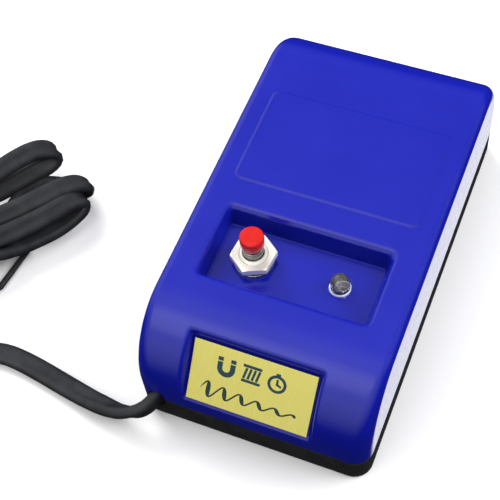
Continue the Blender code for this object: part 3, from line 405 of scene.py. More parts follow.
hank_rows = [
    row(-92.5, -11.8, 6.4, 90), row(-86.5, -11.8, 8.0, 90), row(-80.0, SLOTS[0], SLOT_Z, 90), row(-60.0, SLOTS[0], SLOT_Z, 90), row(-44.0, SLOTS[0], SLOT_Z, 96),
    # loop A: out on top, over the tip and back underneath
    row(-36.0, -12.8, 9.3, 112), row(-28.0, -13.6, 9.6, 130), row(-21.0, -13.8, 9.8, 140), row(-14.0, -14.1, 9.9, 144), row(-8.0, -14.4, 9.9, 146), row(-3.0, -14.3, 9.6, 150),
    row(0.4, -13.8, 8.9, 156), row(2.4, -13.0, 7.8, 163), row(3.4, -12.2, 6.5, 168), row(3.2, -11.5, 5.2, 165), row(1.4, -11.5, 4.4, 157), row(-2.0, -11.5, 4.1, 148),
    row(-8.0, -11.9, 4.0, 144), row(-14.0, -12.1, 4.2, 146), row(-20.0, -11.9, 5.1, 160), row(-26.0, -11.1, 6.5, 205), row(-32.0, -9.9, 7.9, 245), row(-40.0, SLOTS[1], SLOT_Z, 270),
    row(-60.0, SLOTS[1], SLOT_Z, 270), row(-78.0, SLOTS[1], SLOT_Z, 270),
    # far end, lower loop
    row(-84.0, -8.8, 7.4, 270), row(-89.0, -9.0, 4.8, 270), row(-93.4, -7.4, 3.5, 270), row(-95.8, -3.6, 3.3, 270), row(-93.8, 0.4, 3.5, 270), row(-89.2, 0.6, 4.8, 270),
    row(-84.4, -2.6, 7.2, 270), row(-78.0, SLOTS[2], SLOT_Z, 270), row(-60.0, SLOTS[2], SLOT_Z, 270), row(-40.0, SLOTS[2], SLOT_Z, 270),
    # loop B1
    row(-32.0, -3.8, 9.2, 284), row(-24.0, -1.1, 9.7, 304), row(-16.0, 0.7, 10.1, 322), row(-10.0, 1.5, 10.2, 330), row(-5.0, 2.0, 10.2, 336), row(-1.0, 2.4, 9.9, 346),
    row(1.8, 2.9, 9.1, 356), row(3.8, 3.5, 7.8, 366), row(4.6, 3.9, 6.2, 376), row(3.8, 3.3, 4.6, 374), row(1.6, 0.2, 3.2, 368), row(-1.4, -4.8, 2.1, 362), row(-4.6, -8.1, 1.7, 360),
    row(-8.6, -8.9, 1.65, 360), row(-12.6, -7.6, 1.8, 360), row(-16.6, -4.4, 2.6, 372), row(-21.0, -0.4, 4.1, 402), row(-25.0, 1.2, 5.5, 430), row(-29.0, 0.7, 6.8, 448),
    row(-34.0, -1.2, 8.3, 450), row(-40.0, SLOTS[3], SLOT_Z, 450), row(-60.0, SLOTS[3], SLOT_Z, 450), row(-78.0, SLOTS[3], SLOT_Z, 450),
    # far end, upper loop
    row(-83.6, -3.4, 9.6, 450), row(-88.6, -5.0, 10.4, 450), row(-93.0, -3.8, 10.7, 450), row(-95.2, -0.4, 10.7, 450), row(-93.2, 3.2, 10.6, 450), row(-88.8, 3.9, 10.2, 450),
    row(-83.8, 1.8, 9.4, 450), row(-78.0, SLOTS[4], SLOT_Z, 450), row(-60.0, SLOTS[4], SLOT_Z, 450), row(-40.0, SLOTS[4], SLOT_Z, 450),
    # loop B2, the outermost
    row(-32.0, 2.6, 9.1, 470), row(-24.0, 4.9, 9.1, 488), row(-16.0, 6.2, 9.0, 500), row(-9.0, 6.8, 8.9, 504), row(-4.0, 6.8, 8.6, 514), row(-0.8, 6.6, 7.8, 526),
    row(1.2, 6.8, 6.4, 544), row(1.0, 7.2, 5.0, 548), row(-1.4, 7.8, 4.1, 542), row(-5.0, 8.2, 3.6, 538), row(-10.0, 8.5, 3.5, 538),
    row(-16.0, 8.1, 4.0, 538), row(-21.0, 8.0, 4.9, 550), row(-26.0, 7.8, 5.9, 580), row(-33.0, 6.3, 7.4, 630), row(-41.0, SLOTS[5], SLOT_Z, 630), row(-60.0, SLOTS[5], SLOT_Z, 630), row(-74.0, SLOTS[5], SLOT_Z, 630),
]
# out of the last slot, up and round into the wraps
w0 = -Z3
hank_rows += [
    (*hank(-79.0, 4.6, 8.4), *w0), (*hank(-83.6, 5.8, 7.0), *(-Z3 * 0.9 + N3 * 0.45)), (*hank(-87.0, 7.2, 5.6), *(-Z3 * 0.35 + N3 * 0.9 - A3 * 0.2)),
    (*hank(-89.2, 8.8, 6.4), *(N3 * 0.8 - A3 * 0.5)), (*hank(-88.0, 9.6, 9.2), *(N3 * 0.35 - A3 * 0.95)),
]
TURNS, PITCH, T0 = 6.5, 6.2, -81.6
for k in range(int(TURNS * 16) + 1):
    a = math.tau * k / 16
    if a < 0.3:
        continue
    wob = 0.35 * math.sin(2.3 * a + 0.4) + 0.2 * math.sin(5.1 * a)
    rs, rz = 12.0 + 0.25 * math.sin(1.7 * a), 7.5 + 0.12 * math.sin(2.1 * a + 1.0)
    tt = T0 + (-39.7 - T0) * a / (TURNS * math.tau)
    hank_rows.append((*hank(tt + 0.5 * wob * min(1.0, a / 2, (TURNS * math.tau - a) / 2), -4.0 + rs * math.cos(a), 9.0 + rz * math.sin(a)), *(-A3)))
tail_rows = [
    (*hank(-39.3, -17.4, 4.6), *(-A3)), (*hank(-38.6, -18.6, 2.6), *(-A3)), (*hank(-37.6, -21.2, 1.9), -0.55, -0.8, -0.15), (*hank(-36.6, -25.0, 2.5), -0.35, -0.35, -0.8),
    (*hank(-38.2, -28.9, 3.1), -0.05, 0.0, -1.0), (*hank(-42.4, -30.9, 3.4), 0.3, -0.25, -0.9), (*hank(-46.6, -31.0, 4.4), 0.75, -0.5, -0.45),
    (*hank(-49.9, -31.0, 5.8), HANK_N[0], HANK_N[1], 0.0),
]

lead = smooth_path(LEAD_ROUTE, 1.6)
lp = lead[:, :3]
lt = np.gradient(lp, axis=0)
lt /= np.linalg.norm(lt, axis=1)[:, None]
lr = np.radians(lead[:, 3])[:, None]
lv = np.stack([-lt[:, 1], lt[:, 0], 0 * lt[:, 0]], 1)
lv /= np.linalg.norm(lv, axis=1)[:, None]
lw = np.cos(lr) * lv + np.sin(lr) * Z3
lead_rows = np.hstack([lp, lw])
route = [tuple(r) for r in lead_rows[::4][:-1]] + [tuple(r) for r in hank_rows] + tail_rows
flex = smooth_path(route, 1.15)
centre = flex[:, :3].copy()
side = flex[:, 3:] / np.linalg.norm(flex[:, 3:], axis=1)[:, None]
for _ in range(4):
    centre[1:-1] = 0.25 * centre[:-2] + 0.5 * centre[1:-1] + 0.25 * centre[2:]
tan = np.gradient(centre, axis=0)
tan /= np.linalg.norm(tan, axis=1)[:, None]
side = side - tan * np.sum(side * tan, 1)[:, None]
side /= np.linalg.norm(side, axis=1)[:, None]
centre[:, 2] = np.maximum(centre[:, 2], FLEX_T / 2 + (FLEX_W - FLEX_T) / 2 * np.abs(side[:, 2]) + 0.08)
half = FLEX_T / 2
core = FLEX_W / 2 - half
section = [(core + half * math.cos(math.radians(a)), half * math.sin(math.radians(a))) for a in (-110, -78, -45, -15, 15, 45, 78, 110)]
section += [(0.0, half * 0.80)]
section += [(-core + half * math.cos(math.radians(a)), half * math.sin(math.radians(a))) for a in (70, 102, 135, 165, 195, 225, 258, 290)]
section += [(0.0, -half * 0.80)]
verts, faces = [], []
k = len(section)
for c, t, w in zip(centre, tan, side):
    n = np.cross(t, w)
    verts += [c + w * u + n * v for u, v in section]
rings = len(centre)
for i in range(rings - 1):
    for j in range(k):
        faces.append((i * k + j, i * k + (j + 1) % k, (i + 1) * k + (j + 1) % k, (i + 1) * k + j))
faces.append(tuple(range(k - 1, -1, -1)))
faces.append(tuple((rings - 1) * k + j for j in range(k)))
cord = mesh_object("mains_flex", verts, faces)
shade(cord, 60)
dress(cord, BODY, "flex_black", "cord_lead", "cord_hank", "cord_tail")


# ---- housing ----
def sd_rrect(x, y, x0, x1, y0, y1, r):
    qx = np.abs(x - (x0 + x1) / 2) - (x1 - x0) / 2 + r
    qy = np.abs(y - (y0 + y1) / 2) - (y1 - y0) / 2 + r
    return np.hypot(np.maximum(qx, 0), np.maximum(qy, 0)) + np.minimum(np.maximum(qx, qy), 0) - r


def wall_depth(q, width, depth, r_top, r_bot):
    """Depth of a drafted wall a distance q inside its rim, with a rounded rim and a rounded foot."""
    th = math.atan2(depth, width)
    tl, tb = r_top * math.tan(th / 2), r_bot * math.tan(th / 2)
    q = np.asarray(q, float)
    top = r_top - np.sqrt(np.maximum(r_top ** 2 - (q + tl) ** 2, 0))
    low = depth - (r_bot - np.sqrt(np.maximum(r_bot ** 2 - (width + tb - q) ** 2, 0)))
    d = np.where(q <= -tl, 0.0, np.where(q < tl * math.cos(th), top, np.where(q < width - tb * math.cos(th), q * math.tan(th), np.where(q < width + tb, low, depth))))
    return d


def wall_lines(width, depth, r_top, r_bot, reach=0.0, step=0.15):
    """Distances q at which a drafted wall is sampled."""
    th = math.atan2(depth, width)
    tl, tb = r_top * math.tan(th / 2), r_bot * math.tan(th / 2)
    qs = [-tl + r_top * math.sin(th * k / 7) for k in range(8)] + [width * 0.33, width * 0.66] + [width + tb - r_bot * math.sin(th * k / 4) for k in range(5)]
    if reach:
        qs += list(np.arange(-tl, reach, step))
    qs = sorted(qs)
    out = [qs[0]]
    for v in qs[1:]:
        if v - out[-1] > 0.03:
            out.append(v)
    return out


def merge_lines(special, lo, hi, coarse):
    """Sorted grid lines: the special ones and coarse ones wherever the gap is wide."""
    s = sorted(v for v in set(special) | {lo, hi} if lo - 1e-9 <= v <= hi + 1e-9)
    out = [s[0]]
    for v in s[1:]:
        if v - out[-1] < 0.03 and v < hi:
            continue
        n = int(math.ceil((v - out[-1]) / coarse))
        base_v = out[-1]
        for i in range(1, n + 1):
            out.append(base_v + (v - base_v) * i / n)
    return out


DEPTH = TOP_Z - POCKET_FLOOR
PR_TOP, PR_BOT, PR_CORNER = 1.45, 0.07, 1.3
DRAFTS = {"right": 1.5, "left": 0.9, "far": 1.9, "near": 0.9}
pq = wall_lines(POCKET_DRAFT, DEPTH, PR_TOP, PR_BOT, 1.9, 0.16)


def drafted(q, side):
    """Grid line for a wall sample q on the given side of the pocket."""
    return q * DRAFTS[side] / POCKET_DRAFT if q > 0 else q
L_DEPTH, L_WIDTH, LR_TOP, LR_BOT = 2.4, 1.1, 1.3, 0.25
lq = wall_lines(L_WIDTH, L_DEPTH, LR_TOP, LR_BOT)
L_HALF = LABEL_W / 2 + 0.35 + L_WIDTH      # rim of the label recess, half width

xs = []
for q in pq:
    xs += [POCKET_X - drafted(q, "right"), -POCKET_X + drafted(q, "left")]
xs += [POCKET_X - 2.1, -POCKET_X + 2.1, POCKET_X + 1.9, -POCKET_X - 1.9, POCKET_X + 2.5, -POCKET_X - 2.5]
for q in lq:
    xs += [LABEL_X + L_HALF - q, LABEL_X - L_HALF + q]
for v in np.arange(-0.3, 2.3, 0.26):
    xs += [AREA[0] + v, AREA[1] - v]
half_flat = WIDTH / 2 - EDGE_R
xs = merge_lines(xs, -half_flat, half_flat, 1.6)
ys = []
for q in pq:
    ys += [POCKET_Y1 - drafted(q, "far"), POCKET_Y0 + drafted(q, "near")]
for v in np.arange(-0.3, 2.3, 0.26):
    ys += [AREA[2] + v, AREA[3] - v]
ys = merge_lines(ys, -LENGTH / 2 + FRONT_R, LENGTH / 2 - REAR_R, 1.8)

tilt = math.atan2(LABEL_TOP[1] - LABEL_LOW[1], LABEL_TOP[0] - LABEL_LOW[0])
l_dir = (math.cos(tilt), math.sin(tilt))          # up the plate, in (y, z)
l_nrm = (-math.sin(tilt), math.cos(tilt))         # out of the plate
l_mid = ((LABEL_TOP[0] + LABEL_LOW[0]) / 2, (LABEL_TOP[1] + LABEL_LOW[1]) / 2)
FLOOR_OFF = -LABEL_T - 0.3

rows = []          # y, z, ny, nz, edge radius, inset, kind
hy = LENGTH / 2
rows.append((hy, SEAM_Z, 1.0, 0.0, PLAN_R, 0.25))
for z in (SEAM_Z + 0.1, SEAM_Z + 0.28):
    rows.append((hy, z, 1.0, 0.0, PLAN_R, 0.25 - math.sqrt(max(0, 0.28 ** 2 - (SEAM_Z + 0.28 - z) ** 2)) * 0.25 / 0.28 if z < SEAM_Z + 0.28 else 0.0))
for z in (11.0, 13.0, 15.0):
    rows.append((hy, z, 1.0, 0.0, PLAN_R, 0.0))
for i in range(27):
    a = math.radians(90 * i / 26)
    rows.append((hy - REAR_R + REAR_R * math.cos(a), TOP_Z - REAR_R + REAR_R * math.sin(a), math.cos(a), math.sin(a), EDGE_R + (PLAN_R - EDGE_R) * math.cos(a) ** 2, 0.0))
for y in ys[-2:0:-1]:
    rows.append((y, TOP_Z, 0.0, 1.0, EDGE_R, 0.0))
fc = (-hy + FRONT_R, TOP_Z - FRONT_R)


def radial_floor(a):
    """Depth from the rounded near end, along its radius, down to the label's floor plane."""
    e = (-math.sin(a), math.cos(a))
    ne = l_nrm[0] * e[0] + l_nrm[1] * e[1]
    nc = l_nrm[0] * (fc[0] - l_mid[0]) + l_nrm[1] * (fc[1] - l_mid[1])
    return FRONT_R - (FLOOR_OFF - nc) / max(ne, 0.2)


def h_of(a, d=0.0):
    """Height along the plate of the point at angle a, d below the surface."""
    y, z = fc[0] - (FRONT_R - d) * math.sin(a), fc[1] + (FRONT_R - d) * math.cos(a)
    return (y - l_mid[0]) * l_dir[0] + (z - l_mid[1]) * l_dir[1]


# angles where the floor meets the plate's ends, then the rim's place on the surface
aa = np.linspace(0.0, math.pi / 2, 3000)
h_floor = np.array([h_of(a, radial_floor(a)) for a in aa])
a_top = float(np.interp(LABEL_H / 2 + 0.35, h_floor[::-1], aa[::-1]))
a_low = float(np.interp(-LABEL_H / 2 - 0.30, h_floor[::-1], aa[::-1]))
RIM_UP = a_top - L_WIDTH / FRONT_R
RIM_LOW = a_low + 0.45 / FRONT_R
fa = [RIM_UP + q / FRONT_R for q in lq] + [RIM_LOW - q * 0.45 / L_WIDTH / FRONT_R for q in lq]
fa = merge_lines([v for v in fa if 0 < v < math.pi / 2], 0.0, math.pi / 2, math.radians(2.6))
for a in fa:
    rows.append((fc[0] - FRONT_R * math.sin(a), fc[1] + FRONT_R * math.cos(a), -math.sin(a), math.cos(a), EDGE_R + (PLAN_R - EDGE_R) * math.sin(a) ** 2, 0.0))
for z in (12.6, 11.2):
    rows.append((-hy, z, -1.0, 0.0, PLAN_R, 0.0))
rows.append((-hy, SEAM_Z + 0.28, -1.0, 0.0, PLAN_R, 0.0))
rows.append((-hy, SEAM_Z + 0.1, -1.0, 0.0, PLAN_R, 0.25 - math.sqrt(0.28 ** 2 - 0.18 ** 2) * 0.25 / 0.28))
rows.append((-hy, SEAM_Z, -1.0, 0.0, PLAN_R, 0.25))

EDGE_STEPS = 9
cols = [("L", b) for b in range(EDGE_STEPS, 0, -1)] + [("M", x) for x in xs] + [("R", b) for b in range(1, EDGE_STEPS + 1)]


def deck_offset(y, x):
    """How far the deck's skin is moved along its normal: pocket down, watch area up."""
    def f(q, side):
        return q * POCKET_DRAFT / DRAFTS[side] if q > 0 else q
    qx = min(f(POCKET_X - x, "right"), f(POCKET_X + x, "left"))
    qy = min(f(POCKET_Y1 - y, "far"), f(y - POCKET_Y0, "near"))
    rc = PR_CORNER
    q = rc - math.hypot(rc - qx, rc - qy) if qx < rc and qy < rc else min(qx, qy)
    d = -wall_depth(q, POCKET_DRAFT, DEPTH, PR_TOP, PR_BOT)
    s = -sd_rrect(x, y, AREA[0], AREA[1], AREA[2], AREA[3], 2.2)
    u = np.clip((s + 0.05) / 0.55, 0, 1)
    return d + AREA_H * u * u * (3 - 2 * u)


def inner_deck(y, x):
    q = -sd_rrect(x, y, -POCKET_X - 1.9, POCKET_X + 1.9, POCKET_Y0 - 1.9, POCKET_Y1 + 1.9, 1.5)
    return np.clip(q / 0.5 + 0.0, 0, 1) * (DEPTH + 0.0)


def front_depth(a, x):
    q_x = L_HALF - np.abs(x - LABEL_X)
    q_u = (a - RIM_UP) * FRONT_R
    q_l = (RIM_LOW - a) * FRONT_R * L_WIDTH / 0.45
    rc = 0.7
    q_v = min(q_u, q_l)
    q = np.where((q_x < rc) & (q_v < rc), rc - np.hypot(rc - q_x, rc - q_v), np.minimum(q_x, q_v))
    m = wall_depth(q, L_WIDTH, L_DEPTH, LR_TOP, LR_BOT) / L_DEPTH
    return m * max(radial_floor(a), 0.0)


outer, inner = [], []
for (y, z, ny, nz, r, ins) in rows:
    scale = (WIDTH / 2 - r - 20.0) / (half_flat - 20.0)
    deck = abs(ny) < 1e-9
    a = math.atan2(-ny, nz) if ny < 0 and nz > 0 else None
    orow, irow = [], []
    for kind, v in cols:
        if kind == "M":
            x = v if abs(v) <= 20 else math.copysign(20 + (abs(v) - 20) * scale, v)
            x_out = x * (1 - ins / 60.0) if ins else x
            off, dep = 0.0, 0.0
            if deck:
                off = float(deck_offset(y, v))
                dep = float(inner_deck(y, v))
            elif a is not None:
                d = float(front_depth(a, v))
                off = -d
                if abs(v - LABEL_X) < L_HALF + 1.6 and RIM_UP - 0.1 < a < RIM_LOW + 0.1:
                    dep = max(radial_floor(a), 0.0)
            e = ins - off
            orow.append((x_out, y - ny * e, z - nz * e))
            e2 = WALL + dep if deck or a is not None else WALL
            xi = x * (WIDTH / 2 - WALL - max(r - WALL, 0.4)) / (WIDTH / 2 - r)
            irow.append((xi, y - ny * e2, z - nz * e2))
        else:
            s = -1 if kind == "L" else 1
            b = math.radians(90 * v / EDGE_STEPS)
            rr = r - ins
            xo = s * (WIDTH / 2 - ins - rr + rr * math.sin(b))
            d = ins + rr - rr * math.cos(b)
            orow.append((xo, y - ny * d, z - nz * d))
            ri = max(r - WALL, 0.4)
            xi = s * (WIDTH / 2 - WALL - ri + ri * math.sin(b))
            d = WALL + ri - ri * math.cos(b)
            irow.append((xi, y - ny * d, z - nz * d))
    outer.append(orow)
    inner.append(irow)
nr, nc = len(rows), len(cols)
verts = [p for rr in outer for p in rr] + [p for rr in inner for p in rr]
base_i = nr * nc
faces = []
for i in range(nr - 1):
    for j in range(nc - 1):
        p = i * nc + j
        faces.append((p, p + nc, p + nc + 1, p + 1))
        q = base_i + p
        faces.append((q, q + 1, q + nc + 1, q + nc))
# lower edge at both ends, and along the sides
for i, flip in ((0, False), (nr - 1, True)):
    for j in range(nc - 1):
        p, q = i * nc + j, base_i + i * nc + j
        f = (p, p + 1, q + 1, q)
        faces.append(f[::-1] if flip else f)
for j, flip in ((0, False), (nc - 1, True)):
    o_loop = [i * nc + j for i in range(2, nr - 2)]
    i_loop = [base_i + i * nc + j for i in range(0, nr)]
    f = tuple(o_loop)
    faces.append(f[::-1] if not flip else f)
    f = tuple(i_loop)
    faces.append(f if not flip else f[::-1])
    # bevel along the side's lower edge, then the rim between the two skins
    for a_i, b_i in ((2, 1), (1, 0)):
        f = (a_i * nc + j, (nr - 1 - a_i) * nc + j, (nr - 1 - b_i) * nc + j, b_i * nc + j)
        faces.append(f if not flip else f[::-1])
    f = (0 * nc + j, (nr - 1) * nc + j, base_i + (nr - 1) * nc + j, base_i + j)
    faces.append(f if not flip else f[::-1])
shell = mesh_object("housing_shell", verts, faces)
bm = bmesh.new()
bm.from_mesh(shell.data)
bmesh.ops.recalc_face_normals(bm, faces=bm.faces)
bad = [e for e in bm.edges if len(e.link_faces) != 2]
print("shell open edges", len(bad), "verts", len(bm.verts), "volume", round(bm.calc_volume() * 1e9, 1))
bm.to_mesh(shell.data)
bm.free()
HOLE_LED = [(0.0, 22.0), (2.75, 22.0), (2.75, POCKET_FLOOR - 0.35), (2.83, POCKET_FLOOR - 0.12), (3.1, POCKET_FLOOR + 0.02), (3.1, POCKET_FLOOR + 0.5), (0.0, POCKET_FLOOR + 0.5)]
cut(shell, turned("cutter", HOLE_LED, 64, LED))
cut(shell, turned("cutter", [(0.0, 22.0), (3.8, 22.0), (3.8, POCKET_FLOOR + 0.5), (0.0, POCKET_FLOOR + 0.5)], 48, BUTTON))


def notch_cutter():
    pts = round_rect(EXIT_X - 2.0, EXIT_X + 2.0, 5.5, 12.4, 1.9, 8)
    m = Matrix(((1, 0, 0, 0), (0, 0, -1, 0), (0, 1, 0, 0), (0, 0, 0, 1)))
    return prism("cutter", pts, 48.5, 57.0, m)


cut(shell, notch_cutter())
shade(shell, 40)
weighted(shell)
dress(shell, BODY, "housing_blue", "top_housing")
# faces of the pocket's far wall and of the fillet at its foot take the darker blue: painted shade
shell.data.materials.append(MAT["housing_painted_shade"])
for face in shell.data.polygons:
    c, n = face.center, face.normal
    fx, fy, fz = (v * 1000.0 for v in c) if abs(c[2]) < 1.0 else c
    if abs(fx) < POCKET_X + 1.0 and POCKET_Y0 - 1.0 < fy < POCKET_Y1 + 1.0 and POCKET_FLOOR - 0.02 < fz < POCKET_FLOOR + DEPTH - PR_TOP and abs(n[2]) < 0.985:
        if n[1] < -0.5 or (fz < POCKET_FLOOR + 0.25 and n[2] > 0.10):
            face.material_index = len(shell.data.materials) - 1

# ---- base ----
outline_n = 12


def rr_ring(inset, z):
    return [(x, y, z) for x, y in round_rect(-WIDTH / 2 + inset, WIDTH / 2 - inset, -LENGTH / 2 + inset, LENGTH / 2 - inset, max(PLAN_R - inset, 0.5), outline_n)]


levels = [rr_ring(0.7, 0.60), rr_ring(0.42, 0.63)]
for i in range(1, 7):
    a = math.radians(90 * i / 6)
    levels.append(rr_ring(0.04 + 0.38 * (1 - math.sin(a)), 0.63 + 0.42 * (1 - math.cos(a))))
levels.append(rr_ring(0.0, 5.0))
levels += [rr_ring(0.0, 8.35), rr_ring(0.08, 8.55), rr_ring(0.28, 8.68), rr_ring(0.6, 8.7), rr_ring(2.2, 8.7), rr_ring(2.3, 8.9), rr_ring(2.3, 11.0), rr_ring(2.5, 11.2), rr_ring(3.4, 11.2), rr_ring(3.5, 11.0), rr_ring(3.5, 3.0)]
n = len(levels[0])
verts = [p for lv_ in levels for p in lv_]
faces = []
for i in range(len(levels) - 1):
    for j in range(n):
        faces.append((i * n + j, i * n + (j + 1) % n, (i + 1) * n + (j + 1) % n, (i + 1) * n + j))
faces.append(tuple(range(n - 1, -1, -1)))
faces.append(tuple((len(levels) - 1) * n + j for j in range(n)))
base = mesh_object("base_shell", verts, faces)
for fx, fy in ((-24.0, -38.0), (24.0, -38.0), (-24.0, 36.0), (24.0, 36.0)):
    cut(base, turned("cutter", [(0.0, 0.0), (2.7, 0.0), (3.15, 0.12), (3.4, 0.4), (3.55, 0.8), (3.7, 1.4), (0.0, 1.4)], 40, (fx, fy)), "UNION")
for px, py in BOSSES:
    cut(base, turned("cutter", [(0.0, FOOT_H + 1.6), (3.2, FOOT_H + 1.6), (3.2, 8.5), (0.0, 8.5)], 32, (px, py)), "UNION")
for px, py in BOSSES:
    cut(base, turned("cutter", [(0.0, -0.5), (3.6, -0.5), (3.35, FOOT_H), (3.12, FOOT_H + 0.2), (3.1, FOOT_H + 2.4), (1.75, FOOT_H + 2.4), (1.75, 9.5), (0.0, 9.5)], 40, (px, py)))
for gy in (-12.0, -6.0, 0.0, 6.0, 12.0):
    slot_pts = round_rect(-9.0, 9.0, gy - 0.9, gy + 0.9, 0.85, 6)
    cut(base, prism("cutter", slot_pts, -0.2, 4.0))
cut(base, notch_cutter())
shade(base, 35)
weighted(base)
dress(base, BODY, "base_black", "base_cover")
# the lip that closes the seam from inside
seam = []
for inset, z in ((0.45, 8.4), (0.45, 9.15), (1.9, 9.15), (1.9, 8.4)):
    seam.append(rr_ring(inset, z))
n = len(seam[0])
lip = mesh_object("seam_lip", [p for r in seam for p in r], [(i * n + j, i * n + (j + 1) % n, ((i + 1) % 4) * n + (j + 1) % n, ((i + 1) % 4) * n + j) for i in range(4) for j in range(n)])
cut(lip, notch_cutter())
shade(lip, 30)
dress(lip, BODY, "base_black")

# ---- gold plate with printed marks ----
plate_m = Matrix.Translation((LABEL_X, l_mid[0], l_mid[1])) @ Matrix.Rotation(tilt, 4, "X")
plate = block("plate", -LABEL_W / 2, LABEL_W / 2, -LABEL_H / 2, LABEL_H / 2, -LABEL_T, 0.0, plate_m)
bevelled(plate, 0.12, 2)
shade(plate, 30)
weighted(plate)
dress(plate, BODY, "gold_plate", "label_plate")


def stroke(points, width, closed=False):
    """Outline quads of a drawn line of the given width (one value or one per point), in plate coordinates."""
    p = np.array(points, float)
    if closed:
        d = np.roll(p, -1, 0) - np.roll(p, 1, 0)
    else:
        d = np.gradient(p, axis=0)
    d /= np.linalg.norm(d, axis=1)[:, None]
    nrm = np.stack([-d[:, 1], d[:, 0]], 1)
    w = np.broadcast_to(np.asarray(width, float), (len(p),))[:, None] / 2
    return p + nrm * w, p - nrm * w, closed


def ink(name, strokes, mat_name):
    """Thin raised ink from strokes on the plate."""
    verts, faces = [], []
    for a, b, closed in strokes:
        n = len(a)
        k = len(verts)
        for z in (-0.01, 0.05):
            verts += [plate_m @ Vector((x, y, z)) for x, y in a] + [plate_m @ Vector((x, y, z)) for x, y in b]
        m = n if closed else n - 1
        for i in range(m):
            j = (i + 1) % n
            la, lb, ua, ub = k + i, k + n + i, k + 2 * n + i, k + 3 * n + i
            la2, lb2, ua2, ub2 = k + j, k + n + j, k + 2 * n + j, k + 3 * n + j
            faces += [(ua, ub, ub2, ua2), (la, la2, lb2, lb), (la, ua, ua2, la2), (lb, lb2, ub2, ub)]
        if not closed:
            faces += [(k, k + n, k + 3 * n, k + 2 * n), (k + n - 1, k + 3 * n - 1, k + 4 * n - 1, k + 2 * n - 1)]
    o = mesh_object(name, verts, faces)
    b2 = bmesh.new()
    b2.from_mesh(o.data)
    bmesh.ops.recalc_face_normals(b2, faces=b2.faces)
    b2.to_mesh(o.data)
    b2.free()
    shade(o, 30)
    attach(o, BODY)
    o.data.materials.append(MAT[mat_name])
    return o


def circle(cx, cy, r, n=28, a0=0.0, a1=360.0):
    return [(cx + r * math.cos(math.radians(a0 + (a1 - a0) * i / n)), cy + r * math.sin(math.radians(a0 + (a1 - a0) * i / n))) for i in range(n if abs(a1 - a0) >= 360 else n + 1)]


LW, LH = LABEL_W, LABEL_H
c1, c2, c3 = (-6.7, 3.15), (-0.3, 3.25), (6.1, 3.05)
s = []
# a horseshoe magnet with its pole tips
s.append(stroke([(c1[0] - 1.62, c1[1] + 1.05), (c1[0] - 1.62, c1[1] - 0.35)] + circle(c1[0], c1[1] - 0.45, 1.62, 16, 180, 360) + [(c1[0] + 1.62, c1[1] - 0.35), (c1[0] + 1.62, c1[1] + 1.05)], 1.30))
for q in (-1.62, 1.62):
    s.append(stroke([(c1[0] + q, c1[1] + 1.35), (c1[0] + q, c1[1] + 2.35)], 1.30))
# a wound coil between two cheeks
for i in range(4):
    x = c2[0] - 1.62 + i * 1.08
    s.append(stroke([(x - 0.30, c2[1] - 1.45), (x + 0.30, c2[1] + 1.45)], 0.62))
for q in (-2.0, 2.0):
    s.append(stroke([(c2[0] - 2.35, c2[1] + q), (c2[0] + 2.35, c2[1] + q)], 0.72))
# a dial with two hands and a crown
s.append(stroke(circle(c3[0], c3[1] - 0.1, 2.0), 0.72, True))
s.append(stroke([(c3[0], c3[1] - 0.35), (c3[0], c3[1] + 1.2)], 0.55))
s.append(stroke([(c3[0] - 0.2, c3[1] - 0.1), (c3[0] + 1.1, c3[1] - 0.6)], 0.55))
s.append(stroke([(c3[0], c3[1] + 2.05), (c3[0], c3[1] + 2.75)], 1.1))
ink("plate_marks", s, "label_ink")
# a field that dies away, drawn with a broad pen under the marks
s = []
t = np.linspace(0.0, 1.0, 190)
xx = -12.2 + 24.2 * t
amp = 2.3 * np.exp(-1.5 * t)
ph = 2 * math.pi * 5.5 * t ** 0.95
yy = -4.2 + amp * np.sin(ph)
wd = 0.40 + 0.75 * np.clip(-np.cos(ph), 0, 1) * (1 - 0.35 * t)
wd = wd * np.clip(np.minimum(t, 1 - t) * 30 + 0.35, 0, 1)
s.append(stroke(np.stack([xx + 0.35 * amp * np.sin(ph), yy], 1), wd))
ink("plate_flourish", s, "label_ink_dark")

# ---- push button switch ----
bx, by = BUTTON
NUT_Z0, NUT_Z1 = 29.4, 31.2
hexa = [(5.84 * math.cos(0.41 + math.tau * i / 6), 5.84 * math.sin(0.41 + math.tau * i / 6)) for i in range(6)]
nut = prism("nut", [(x + bx, y + by) for x, y in hexa], NUT_Z0, NUT_Z1)
cut(nut, turned("cutter", [(0.0, NUT_Z0 - 0.5), (6.3, NUT_Z0 - 0.5), (6.3, NUT_Z1 - 0.42), (5.35, NUT_Z1), (5.3, NUT_Z1 + 0.2), (0.0, NUT_Z1 + 0.2)], 72, BUTTON), "INTERSECT")
cut(nut, turned("cutter", [(0.0, NUT_Z0 - 1.0), (3.56, NUT_Z0 - 1.0), (3.56, NUT_Z1 - 0.16), (3.78, NUT_Z1 + 0.06), (3.78, NUT_Z1 + 1.0), (0.0, NUT_Z1 + 1.0)], 72, BUTTON))
bevelled(nut, 0.10, 2, 20)
shade(nut, 30)
weighted(nut)
dress(nut, BODY, "nickel", "switch_nut")
dress(turned("spacer", [(3.56, 29.4), (4.95, 29.4), (5.05, 29.32), (5.05, 28.72), (4.85, 28.62), (4.85, 28.45), (5.05, 28.35), (5.05, POCKET_FLOOR + 0.06), (5.0, POCKET_FLOOR), (3.56, POCKET_FLOOR)], 64, BUTTON), BODY, "steel", "switch_spacer", mat="spacer")

bush = [(2.67, 31.30), (2.67, 31.62), (2.74, 31.76), (2.9, 31.82), (3.14, 31.80), (3.24, 31.74)]
z = 31.68
while z > 25.2:
    bush += [(3.28, z), (3.5, z - 0.17), (3.5, z - 0.23), (3.28, z - 0.40)]
    z -= 0.5
bush += [(3.5, 24.9), (5.4, 24.9), (5.4, 17.9), (4.75, 17.9), (4.75, 23.9), (2.85, 23.9), (2.85, 30.9)]
dress(turned("threaded_bush", bush, 64, BUTTON), BODY, "nickel", "switch_bush")

